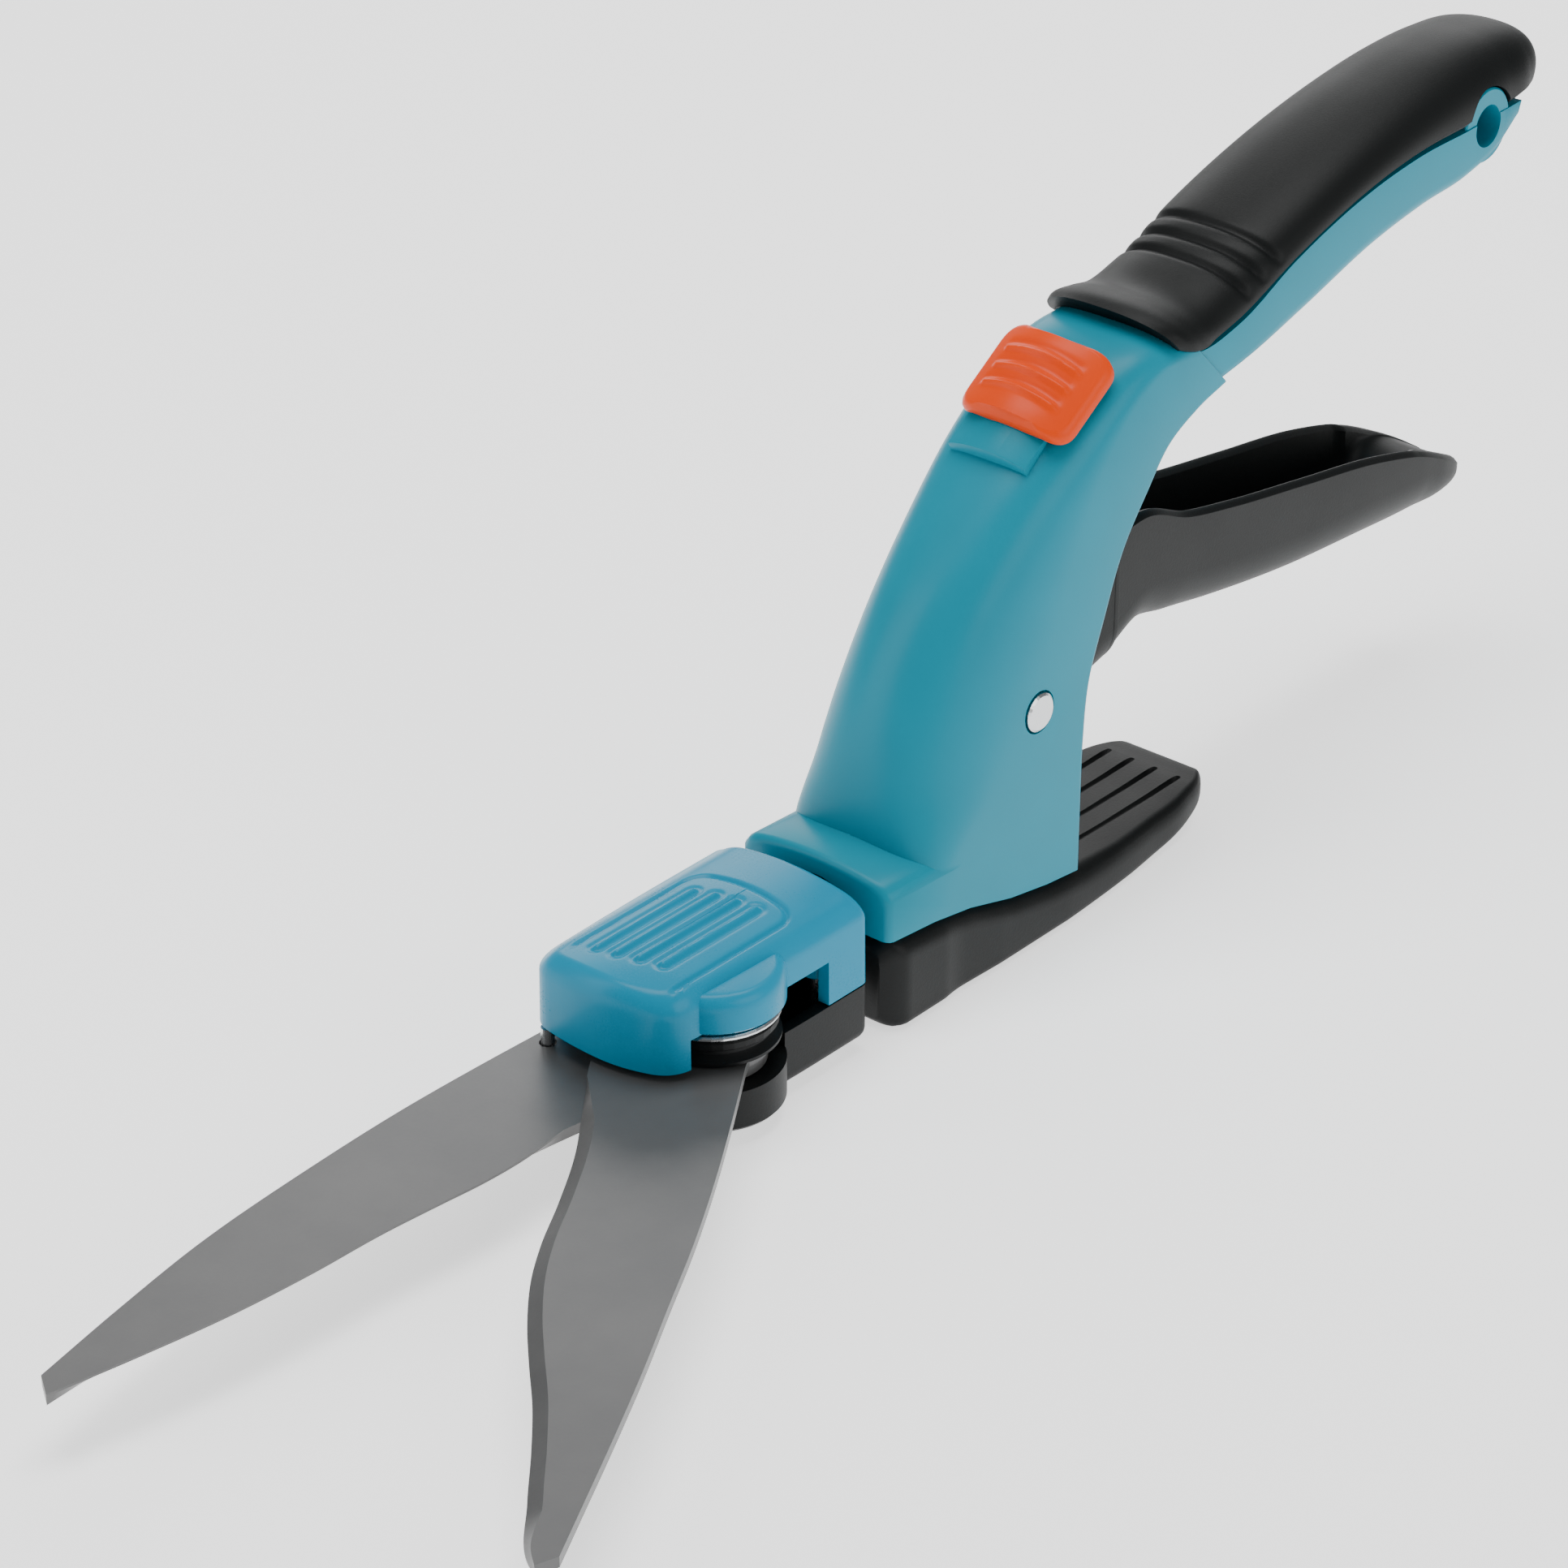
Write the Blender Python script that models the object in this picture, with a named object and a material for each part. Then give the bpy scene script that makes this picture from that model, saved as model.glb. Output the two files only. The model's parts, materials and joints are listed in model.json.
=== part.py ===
"""Hand-held grass shears: a squeeze lever under a curved handle drives one of two
flat blades through a pull rod, and the blade head turns on a neck in front of the
handle.  Lengths are in millimetres here and are scaled to metres when a mesh is made.
x runs from the blade tips to the handle, -y is the user's left, z is up, and the
origin lies on the flat sole below the lever pin."""
import math

import bmesh
import bpy
from mathutils import Vector

MM = 0.001
GAP = 0.3                      # clearance between two solids that do not touch

# head and neck
NECK_Z = 16.0                  # height of the axis the head turns on
HEAD_REAR, HEAD_FRONT = -33.0, -80.0
HEAD_HALF = 14.4               # from the middle to the side with the moving blade
HEAD_FAR = 16.2                # from the middle to the other side
SPLIT_Z = 11.7                 # joint line between lower frame and upper cover
FRAME_BOTTOM = 1.8
NECK_R = 7.2                   # radius of the turning neck tube
ROD_R = 2.2
ROD_END = -49.9                # front face of the rod collar
YOKE_REAR = -44.8

# blades
PIVOT = (-61.7, -7.3)          # vertical axis of the moving blade
BLADE_T = 1.8
FIXED_Z = 9.4                  # underside of the fixed blade
MOVING_Z = 11.4                # underside of the moving blade
SWING = math.radians(34.0)     # how far the blade opens at rest
DRIVE_ARM = 15.66              # blade axis to drive pin
LOBE_R = 11.3

# lever
PIN = (8.8, 42.2)              # lever axis, in x and z
LEVER_ARM = 24.0               # lever axis to rod pin
LEVER_HALF = 9.0
ARM_TILT = math.radians(11.0)  # forward lean of the short arm at rest

# handle
WALL = 2.4

# height of the joint line between housing and foot, along x
FOOT_LINE = [(-28.5, 16.4), (-17.0, 15.3), (-8.0, 13.8), (2.5, 10.9), (12.0, 9.2), (20.8, 8.2)]


def material(name, colour, roughness, metallic=0.0):
    """A plain one-colour surface."""
    mat = bpy.data.materials.new(name)
    mat.use_nodes = True
    shader = mat.node_tree.nodes["Principled BSDF"]
    shader.inputs["Base Color"].default_value = (*colour, 1.0)
    shader.inputs["Roughness"].default_value = roughness
    shader.inputs["Metallic"].default_value = metallic
    mat.diffuse_color = (*colour, 1.0)
    return mat


def make(name, verts, faces, mat=None, smooth=False, origin=(0.0, 0.0, 0.0)):
    """One mesh object from millimetre points, with its origin at the given point."""
    at = Vector(origin)
    mesh = bpy.data.meshes.new(name)
    mesh.from_pydata([(Vector(v) - at) * MM for v in verts], [], faces)
    edit = bmesh.new()
    edit.from_mesh(mesh)
    bmesh.ops.remove_doubles(edit, verts=edit.verts, dist=1e-6)
    bmesh.ops.recalc_face_normals(edit, faces=edit.faces)
    edit.to_mesh(mesh)
    edit.free()
    obj = bpy.data.objects.new(name, mesh)
    obj.location = at * MM
    bpy.context.collection.objects.link(obj)
    if mat:
        mesh.materials.append(mat)
    if smooth:
        mesh.shade_smooth()
        mesh.set_sharp_from_angle(angle=math.radians(35.0))
    return obj


def loft(name, rings, mat=None, smooth=True, origin=(0.0, 0.0, 0.0)):
    """A closed body skinned over rings of equal length, capped at both ends."""
    count = len(rings[0])
    verts = [p for ring in rings for p in ring]
    faces = [list(range(count))[::-1]]
    faces.append([(len(rings) - 1) * count + i for i in range(count)])
    for r in range(len(rings) - 1):
        for i in range(count):
            a, b = r * count + i, r * count + (i + 1) % count
            faces.append((a, b, b + count, a + count))
    return make(name, verts, faces, mat, smooth, origin)


def prism(name, outline, low, high, axis="z", mat=None, origin=(0.0, 0.0, 0.0)):
    """A flat outline pushed out between two levels along y or z."""
    if axis == "z":
        rings = [[(u, v, w) for u, v in outline] for w in (low, high)]
    else:
        rings = [[(u, w, v) for u, v in outline] for w in (low, high)]
    return loft(name, rings, mat, True, origin)


def round_bar(name, profile, at, axis, mat=None, steps=28, origin=None):
    """A turned body: (distance along the axis, radius) pairs about a point."""
    rings = []
    for along, radius in profile:
        ring = []
        for k in range(steps):
            a = math.tau * k / steps
            u, v = radius * math.cos(a), radius * math.sin(a)
            local = {"x": (along, u, v), "y": (v, along, u), "z": (u, v, along)}[axis]
            ring.append(tuple(p + q for p, q in zip(at, local)))
        rings.append(ring)
    return loft(name, rings, mat, True, origin if origin else at)


def combine(target, tool, operation="DIFFERENCE"):
    """Cut a tool from a body, or weld it on, and hide the tool."""
    step = target.modifiers.new(operation.title(), "BOOLEAN")
    step.operation = operation
    step.object = tool
    tool.hide_render = True
    tool.display_type = "WIRE"
    return target


def curve_through(points, steps):
    """Points on a smooth curve through the given ones."""
    out = []
    last = len(points) - 1
    for i in range(last):
        p0, p1 = points[max(i - 1, 0)], points[i]
        p2, p3 = points[i + 1], points[min(i + 2, last)]
        for s in range(steps):
            t = s / steps
            out.append(tuple(
                0.5 * (2 * b + (c - a) * t + (2 * a - 5 * b + 4 * c - d) * t * t
                       + (3 * b - a - 3 * c + d) * t ** 3)
                for a, b, c, d in zip(p0, p1, p2, p3)))
    out.append(tuple(points[-1]))
    return out


def arc(centre, radius, start, end, steps):
    """Points on a circle between two angles in degrees."""
    out = []
    for k in range(steps + 1):
        a = math.radians(start + (end - start) * k / steps)
        out.append((centre[0] + radius * math.cos(a), centre[1] + radius * math.sin(a)))
    return out


def lerp(table, x):
    """Value of a piecewise-linear table of (x, value) pairs."""
    if x <= table[0][0]:
        return table[0][1]
    for (x0, v0), (x1, v1) in zip(table, table[1:]):
        if x <= x1:
            return v0 + (v1 - v0) * (x - x0) / (x1 - x0)
    return table[-1][1]


# the right side against the left side, along the height of the handle
RIGHT_SIDE = [(40.0, 1.08), (72.0, 1.0), (96.0, 0.92)]


def widen(y, z):
    """Half width y at height z, on the right side a little more or less than on the left."""
    return y * lerp(RIGHT_SIDE, z) if y > 0.0 else y


def nose_ring(front, ridge, back, half, corner, inset=0.0, reach=0.0):
    """One section of the housing: straight sides from the back to the ridge and a
    rounded nose from the ridge to the front point."""
    f, r, b = Vector(front), Vector(ridge), Vector(back)
    axis = (f - b).normalized()
    f, b = f - axis * inset, b - axis * reach
    side = half - inset
    ring = []
    for k in range(13):
        a = math.pi * k / 12
        across = math.copysign(abs(math.cos(a)) ** corner, math.cos(a)) * side
        along = math.sin(a) ** corner
        p = r + (f - r) * along
        ring.append((p.x, across, p.y))
    cut = 1.2 if inset == 0.0 else 0.4
    ring.append((b.x + axis.x * cut, -side, b.y + axis.y * cut))
    ring.append((b.x, -side + cut, b.y))
    ring.append((b.x, side - cut, b.y))
    ring.append((b.x + axis.x * cut, side, b.y + axis.y * cut))
    return [(x, widen(y, front[1]), z) for x, y, z in ring]


# sections of the rising housing: front point, side ridge, rear edge, half width, nose shape
BODY = [
    ((-20.0, 8.0), (-13.0, 7.0), (20.8, 4.0), 14.6, 0.45),
    ((-20.0, 24.0), (-11.0, 22.0), (20.8, 19.0), 14.6, 0.50),
    ((-18.2, 36.0), (-0.5, 33.0), (21.0, 32.0), 14.6, 0.72),
    ((-14.6, 48.0), (6.0, 44.0), (22.2, 42.3), 14.5, 0.85),
    ((-8.2, 60.0), (12.0, 55.0), (26.0, 52.5), 14.4, 0.92),
    ((1.6, 71.0), (18.0, 68.0), (30.8, 62.8), 14.2, 0.92),
    ((11.6, 80.0), (24.5, 79.0), (36.8, 70.4), 14.0, 0.88),
    ((22.0, 87.2), (32.5, 86.5), (42.6, 76.4), 13.7, 0.80),
    ((33.0, 93.0), (41.0, 90.0), (50.0, 79.8), 13.5, 0.72),
    ((46.0, 95.2), (51.0, 89.0), (58.0, 81.8), 13.3, 0.72),
]
CAVITY = BODY[:7] + [((19.5, 85.6), (30.8, 84.6), (41.4, 75.2), 13.8, 0.82)]

# sections of the strip below the grip: upper and lower edge
STRIP = [
    ((44.0, 91.0), (48.5, 78.8)),
    ((52.0, 89.6), (57.2, 81.0)),
    ((60.6, 91.2), (64.6, 83.2)),
    ((75.8, 97.2), (79.2, 87.0)),
    ((97.0, 102.8), (99.6, 92.4)),
    ((112.0, 104.6), (113.6, 94.6)),
    ((125.8, 104.8), (126.4, 95.8)),
    ((134.0, 105.2), (134.6, 98.2)),
    ((141.6, 105.4), (140.6, 102.8)),
]
HANG_HOLE = (131.3, 103.8)
HANG_R = 3.7

# sections of the grip: lower edge, top, half width
GRIP = [
    ((44.6, 91.8), (39.8, 97.6), 13.4),
    ((46.4, 91.2), (41.6, 98.2), 14.3),
    ((50.4, 90.2), (45.6, 98.1), 14.4),
    ((54.0, 90.6), (50.0, 97.3), 13.8),
    ((61.0, 92.0), (58.0, 98.9), 13.6),
    ((76.0, 97.8), (72.6, 104.3), 13.8),
    ((98.0, 103.5), (96.0, 111.1), 13.8),
    ((113.0, 105.3), (111.9, 114.4), 13.8),
    ((126.0, 105.6), (126.0, 116.3), 13.8),
    ((137.0, 105.8), (138.0, 116.8), 13.4),
    ((144.0, 106.2), (146.2, 115.8), 12.6),
    ((148.6, 107.2), (152.0, 113.8), 10.4),
    ((151.4, 108.6), (154.6, 111.6), 6.2),
]

teal = material("teal_plastic", (0.0, 0.33, 0.47), 0.38)
head_teal = material("head_teal_plastic", (0.0, 0.36, 0.56), 0.36)
soft_black = material("soft_grip_black", (0.022, 0.024, 0.024), 0.62)
black = material("black_plastic", (0.018, 0.020, 0.020), 0.50)
orange = material("orange_plastic", (0.85, 0.07, 0.005), 0.35)
steel = material("bright_steel", (0.62, 0.63, 0.64), 0.28, 1.0)
coated = material("coated_blade_steel", (0.17, 0.17, 0.17), 0.50)
spring_steel = material("spring_steel", (0.35, 0.35, 0.36), 0.35, 1.0)


def foot_line_cutter(name, offset, top):
    """A block bounded by the joint line between housing and foot."""
    edge = [(x, z + offset) for x, z in FOOT_LINE]
    edge = [(-60.0, edge[0][1])] + edge + [(90.0, edge[-1][1])]
    far = 60.0 if top else -30.0
    return prism(name, edge + [(90.0, far), (-60.0, far)], -40.0, 40.0, "y")


def collar_ring(x, half, low, high, crown, corner):
    """A rounded section of the collar, arched on top."""
    ring = [(x, -half, low), (x, half, low)]
    shoulder = high - corner
    ring.append((x, half, shoulder))
    for k in range(9):
        y = (half - corner * 0.35) * (1.0 - k / 4.0)
        ring.append((x, y, high + crown * (1.0 - (y / half) ** 2)))
    ring.append((x, -half, shoulder))
    return [(x, widen(y, z), z) for x, y, z in ring]


def build_housing():
    """The one-piece shell from the collar to the hang hole."""
    shell = loft("handle_shell", [nose_ring(*row) for row in BODY], teal)
    rings = [collar_ring(x, h, 4.0, z, 1.6, c) for x, h, z, c in (
        (-28.5, 13.6, 24.4, 2.4), (-27.4, 14.6, 25.4, 2.0), (-10.0, 14.6, 24.6, 2.0),
        (4.0, 14.0, 23.4, 2.0))]
    combine(shell, loft("collar_tool", rings), "UNION")
    combine(shell, loft("strip_tool", strip_rings()), "UNION")
    boss = round_bar("boss_tool", [(-13.0, 6.6), (11.9, 6.6)], (HANG_HOLE[0], 0, HANG_HOLE[1]), "y")
    combine(shell, boss, "UNION")
    pad = loft("pad_tool", pad_rings())
    combine(shell, pad, "UNION")
    inner = [nose_ring(*row, inset=WALL, reach=12.0) for row in CAVITY]
    combine(shell, loft("cavity_tool", inner))
    combine(shell, foot_line_cutter("foot_line_tool", 0.0, False))
    bore = [(-40.0, NECK_R + GAP), (-2.0, NECK_R + GAP)]
    combine(shell, round_bar("neck_bore_tool", bore, (0.0, 0.0, NECK_Z), "x"))
    ring_seat = [(-15.8, 10.2), (-2.0, 10.2)]
    combine(shell, round_bar("ring_seat_tool", ring_seat, (0.0, 0.0, NECK_Z), "x"))
    hole = [(-30.0, HANG_R), (30.0, HANG_R)]
    combine(shell, round_bar("hang_hole_tool", hole, (HANG_HOLE[0], 0, HANG_HOLE[1]), "y"))
    pin = [(-30.0, 2.7), (30.0, 2.7)]
    combine(shell, round_bar("pin_hole_tool", pin, (PIN[0], 0, PIN[1]), "y"))
    for side in (-1, 1):
        seat = [(side * 13.4, 3.7), (side * 20.0, 3.7)]
        tool = round_bar("pin_seat_tool_%d" % side, seat, (PIN[0], 0, PIN[1]), "y")
        combine(shell, tool)
    combine(shell, slope_block("lock_slot_tool", (-6.5, 6.5), (-2.4, 2.4), (-12.0, 12.0)))
    return shell


def strip_rings():
    """Rounded box sections of the strip that carries the grip."""
    rings = []
    for i, (upper, lower) in enumerate(STRIP):
        u, low = Vector(upper), Vector(lower)
        half = 12.5 if i < 2 else 13.2
        ring = []
        for y, t in ((-half, 0.0), (-half, 0.82), (-half + 2.0, 1.0), (half - 2.0, 1.0),
                     (half, 0.82), (half, 0.0)):
            p = u.lerp(low, t)
            ring.append((p.x, widen(y, upper[1]), p.y))
        rings.append(ring)
    return rings


# frame of the sloping seat of the lock slider
SLOPE = math.radians(33.0)
SEAT = Vector((22.5, 88.3))


def slope_point(along, across, up):
    """A point given in the sloping frame of the lock slider."""
    x = SEAT.x + along * math.cos(SLOPE) - up * math.sin(SLOPE)
    z = SEAT.y + along * math.sin(SLOPE) + up * math.cos(SLOPE)
    return (x, across, z)


def slope_block(name, along, across, up, mat=None):
    """A plain block in the sloping frame."""
    rings = []
    for h in up:
        rings.append([slope_point(a, c, h) for a, c in (
            (along[0], across[0]), (along[1], across[0]), (along[1], across[1]),
            (along[0], across[1]))])
    return loft(name, rings, mat, False)


CROWN = 0.028                  # how fast pad and slider fall away to the sides


def crowned(stations):
    """Sections across the sloping seat: (across, list of (along, up)), bent down to the sides."""
    return [[slope_point(a, y, up - CROWN * y * y) for a, up in outline] for y, outline in stations]


def pad_rings():
    """The raised pad the lock slider runs on."""
    stations = []
    for k in range(9):
        y = -7.6 + 15.2 * k / 8
        stations.append((y, [(-13.0, -5.0), (8.6, -5.0), (8.0, 1.4), (-12.5, 1.4)]))
    return crowned(stations)


def build_grip():
    """The soft grip moulded over the handle, arched over the hang hole boss."""
    rings = []
    for lower, top, half in GRIP:
        low, high = Vector(lower), Vector(top)
        ring = [(low.x, half * 0.93, low.y)]
        for k in range(15):
            a = math.pi * k / 14
            across = math.copysign(abs(math.cos(a)) ** 0.85, math.cos(a)) * half
            p = low.lerp(high, 0.10 + 0.90 * math.sin(a) ** 0.9)
            ring.append((p.x, across, p.y))
        ring.append((low.x, -half * 0.93, low.y))
        rings.append([(x, widen(y, low.y), z) for x, y, z in ring])
    grip = loft("grip_overmould", rings, soft_black)
    arch = [(-30.0, 6.6 + GAP), (30.0, 6.6 + GAP)]
    combine(grip, round_bar("arch_tool", arch, (HANG_HOLE[0], 0, HANG_HOLE[1]), "y"))
    seat = [nose_ring(*BODY[i], inset=-GAP) for i in (7, 8, 9)]
    seat.append([(x + 0.4, y, z + 0.3) for x, y, z in seat[-1]])
    combine(grip, loft("grip_seat_tool", seat))
    return grip


FOOT_WIDTH = [(-28.2, 12.6), (-26.4, 14.6), (-10.0, 15.2), (8.0, 15.8), (25.0, 15.2),
              (42.0, 13.8), (54.0, 12.4), (60.6, 10.4), (64.0, 7.0)]
FOOT_SOLE = [(-28.2, 1.4), (-26.4, 0.0), (36.0, 0.0), (50.0, 0.9), (60.6, 2.8), (64.0, 4.2)]
HEEL_TOP = [(21.3, 7.8), (30.0, 7.2), (48.0, 7.0), (60.6, 7.2), (64.0, 6.2)]


def foot_top(x):
    """Height of the upper side of the foot."""
    if x < 20.9:
        return lerp(FOOT_LINE, x) - GAP
    return lerp(HEEL_TOP, x)


def build_foot():
    """The long foot below the housing with its flat sole and grooved heel."""
    rings = []
    for x in (-28.2, -26.4, -17.0, -8.0, 2.5, 12.0, 20.8, 30.0, 41.0, 48.0, 54.0, 60.6, 64.0):
        half, low, high = lerp(FOOT_WIDTH, x), lerp(FOOT_SOLE, x), foot_top(x)
        shrink = 2.0 if x < -26.6 else 0.0
        high -= shrink
        edge = min(2.2, (high - low) * 0.3)
        inner = min(half, 14.6)
        rings.append([(x, widen(y, z) if x < 21.0 else y, z) for y, z in (
            (-half + 1.0, low), (half - 1.0, low), (half, low + 1.0), (half, high - edge),
            (inner - edge * 0.6, high), (-inner + edge * 0.6, high), (-half, high - edge),
            (-half, low + 1.0))])
    foot = loft("foot", rings, black)
    bore = [(-40.0, NECK_R + GAP), (-15.7, NECK_R + GAP)]
    combine(foot, round_bar("saddle_tool", bore, (0.0, 0.0, NECK_Z), "x"))
    seat = [(-15.8, 10.2), (8.0, 10.2)]
    combine(foot, round_bar("saddle_rear_tool", seat, (0.0, 0.0, NECK_Z), "x"))
    for i, y in enumerate((-7.3, -2.45, 2.45, 7.3)):
        groove = [(23.0, 6.3), (57.0, 6.3), (58.5, 9.5), (23.0, 9.5)]
        combine(foot, prism("groove_tool_%d" % i, groove, y - 0.45, y + 0.45, "y"))
    for i, x in enumerate(FOOT_SCREW_X):
        well = round_bar("screw_well_tool_%d" % i, [(-2.0, 3.6), (3.6, 3.6)], (x, 0, 0), "z")
        combine(foot, well)
        shank = round_bar("screw_way_tool_%d" % i, [(0.0, 1.6), (9.4, 1.6)], (x, 0, 0), "z")
        combine(foot, shank)
    return foot


FOOT_SCREW_X = (-6.0, 33.0)


def build_foot_screws():
    """Two pan-head screws set into wells in the sole, driven by a cross recess."""
    for i, x in enumerate(FOOT_SCREW_X):
        top = (4.4, 6.6)[i]
        screw = round_bar("foot_screw_%s" % ("front", "rear")[i],
                          [(1.2, 2.4), (1.6, 3.0), (3.2, 3.0), (3.2, 1.3), (top, 1.3)],
                          (x, 0.0, 0.0), "z", steel, 20)
        cross_recess(screw, (x, 0.0, 1.2), -1.0)


def cross_recess(screw, at, side):
    """Cut two crossed slots into the end face of a vertical screw."""
    x, y, z = at
    for k, (a, b) in enumerate(((1.5, 0.35), (0.35, 1.5))):
        outline = [(x - a, y - b), (x + a, y - b), (x + a, y + b), (x - a, y + b)]
        low, high = sorted((z - side * 0.9, z + side * 1.0))
        combine(screw, prism("%s_slot_tool_%d" % (screw.name, k), outline, low, high))


# lever sections along the trough: x, rim height, bottom height, half width
LEVER = [
    (20.0, 47.0, 34.0, 7.4), (30.0, 58.0, 34.2, 8.6), (36.0, 62.0, 36.0, 9.0),
    (44.0, 62.6, 39.6, 9.0), (55.0, 58.4, 38.0, 9.0), (67.0, 55.8, 35.8, 9.2),
    (88.0, 52.2, 32.8, 9.4), (110.0, 48.4, 31.0, 9.6), (124.0, 44.6, 30.0, 9.6),
    (133.0, 40.4, 29.6, 9.0), (138.4, 37.6, 30.6, 7.6), (141.4, 35.6, 32.2, 5.0),
]


def trough_ring(x, rim, bottom, half, inset):
    """A U-shaped lever section, or the hollow inside it."""
    w, low = half - inset, bottom + inset
    depth = min(w, (rim - low) * 0.7)
    ring = [(x, -w, rim + (8.0 if inset else 0.0)), (x, -w, low + depth)]
    for k in range(1, 8):
        a = math.pi * k / 8
        ring.append((x, -w * math.cos(a), low + depth * (1.0 - math.sin(a))))
    ring += [(x, w, low + depth), (x, w, rim + (8.0 if inset else 0.0))]
    return ring


def build_lever():
    """The squeeze lever: a deep trough behind the pin and a short arm below it."""
    at = (PIN[0], 0.0, PIN[1])
    lever = loft("squeeze_lever", [trough_ring(*row, 0.0) for row in LEVER], black, True, at)
    hollow = [trough_ring(x, rim, bottom, half, 2.2) for x, rim, bottom, half in LEVER[2:10]]
    hub = [(-LEVER_HALF + 1.6, 8.0), (LEVER_HALF - 1.6, 8.0)]
    combine(lever, round_bar("hub_tool", hub, at, "y"), "UNION")
    foot_x = PIN[0] - LEVER_ARM * math.sin(ARM_TILT)
    foot_z = PIN[1] - LEVER_ARM * math.cos(ARM_TILT)
    web = [(PIN[0] - 6.4, PIN[1] + 2.0), (foot_x - 3.6, foot_z - 4.2),
           (foot_x + 3.6, foot_z - 4.2), (PIN[0] + 16.0, PIN[1] - 8.4), (PIN[0] + 20.0, PIN[1] + 5)]
    combine(lever, prism("web_tool", web, -3.2, 3.2, "y"), "UNION")
    combine(lever, loft("trough_tool", hollow))
    pin_way = [(-20.0, 2.5 + GAP), (20.0, 2.5 + GAP)]
    combine(lever, round_bar("lever_bore_tool", pin_way, at, "y"))
    slot = [(foot_x - 1.9, foot_z - 9.0), (foot_x + 1.9, foot_z - 9.0),
            (foot_x + 1.9, foot_z + 2.4), (foot_x - 1.9, foot_z + 2.4)]
    combine(lever, prism("fork_tool", slot, -20.0, 20.0, "y"))
    spring_bay = [(-3.4, 9.6), (3.4, 9.6)]
    combine(lever, round_bar("spring_bay_tool", spring_bay, (PIN[0], 5.8, PIN[1]), "y"))
    return lever


def build_lever_pin():
    """The steel rivet the lever turns on, and the ring that keeps it in."""
    at = (PIN[0], 0.0, PIN[1])
    round_bar("lever_pin", [(-15.0, 2.9), (-14.7, 3.3), (-13.8, 3.3), (-13.8, 2.4), (13.2, 2.4),
                            (13.2, 1.6), (14.8, 1.6)], at, "y", steel, 32)
    ring = round_bar("pin_clip", [(13.7, 3.1), (14.4, 3.1)], at, "y", steel, 24)
    combine(ring, round_bar("clip_bore_tool", [(10.0, 1.9), (20.0, 1.9)], at, "y"))


def build_spring():
    """The torsion spring coiled round the pin beside the lever web."""
    turns, wire, radius, steps = 3.2, 0.65, 6.4, 20
    count = int(turns * steps)
    path = []
    for i in range(count + 1):
        a = math.tau * i / steps + 0.6
        path.append(Vector((PIN[0] + radius * math.cos(a), 3.6 + 4.4 * i / count,
                            PIN[1] + radius * math.sin(a))))
    path.insert(0, path[0] + Vector((-9.0 * math.sin(-0.6), -0.2, -9.0 * math.cos(0.6))) * 0.5)
    rings = []
    for i, p in enumerate(path):
        ahead = path[min(i + 1, len(path) - 1)] - path[max(i - 1, 0)]
        ahead.normalize()
        side = ahead.cross(Vector((0, 1, 0))).normalized()
        up = ahead.cross(side)
        rings.append([tuple(p + (side * math.cos(b) + up * math.sin(b)) * wire)
                      for b in (math.tau * k / 6 for k in range(6))])
    loft("return_spring", rings, spring_steel)


def build_rod():
    """The pull rod with its flat eye and collar end, and the pin that joins it to the lever."""
    foot_x = PIN[0] - LEVER_ARM * math.sin(ARM_TILT)
    foot_z = PIN[1] - LEVER_ARM * math.cos(ARM_TILT)
    at = (foot_x, 0.0, NECK_Z)
    start = ROD_END - foot_x
    bar = [(start, 3.4), (start + 2.0, 3.4), (start + 2.0, ROD_R), (-9.0, ROD_R)]
    rod = round_bar("pull_rod", bar, at, "x", steel, 20)
    plate = [(foot_x - 14.0, NECK_Z - 1.8), (foot_x - 4.0, NECK_Z - 2.4), (foot_x + 3.4, foot_z - 3.2),
             (foot_x + 3.4, foot_z + 3.0), (foot_x - 3.2, foot_z + 3.0), (foot_x - 14.0, NECK_Z + 1.8)]
    combine(rod, prism("eye_tool", plate, -5.6, 5.6, "y"), "UNION")
    fork = [(foot_x - 5.8, foot_z - 12.0), (foot_x + 9.0, foot_z - 12.0), (foot_x + 9.0, foot_z + 9.0),
            (foot_x - 5.8, foot_z + 9.0)]
    combine(rod, prism("eye_gap_tool", fork, -3.8, 3.8, "y"))
    bore = [(-9.0, 1.5 + 0.15), (9.0, 1.5 + 0.15)]
    combine(rod, round_bar("eye_bore_tool", bore, (foot_x, 0, foot_z), "y"))
    round_bar("rod_pin", [(-6.4, 1.2), (-6.0, 1.5), (6.0, 1.5), (6.4, 1.2)],
              (foot_x, 0.0, foot_z), "y", steel, 16)


def drive_point():
    """Where the drive pin stands at rest, with the blade open."""
    half = SWING / 2
    return (PIVOT[0] - DRIVE_ARM * math.sin(half), PIVOT[1] + DRIVE_ARM * math.cos(half))


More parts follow.
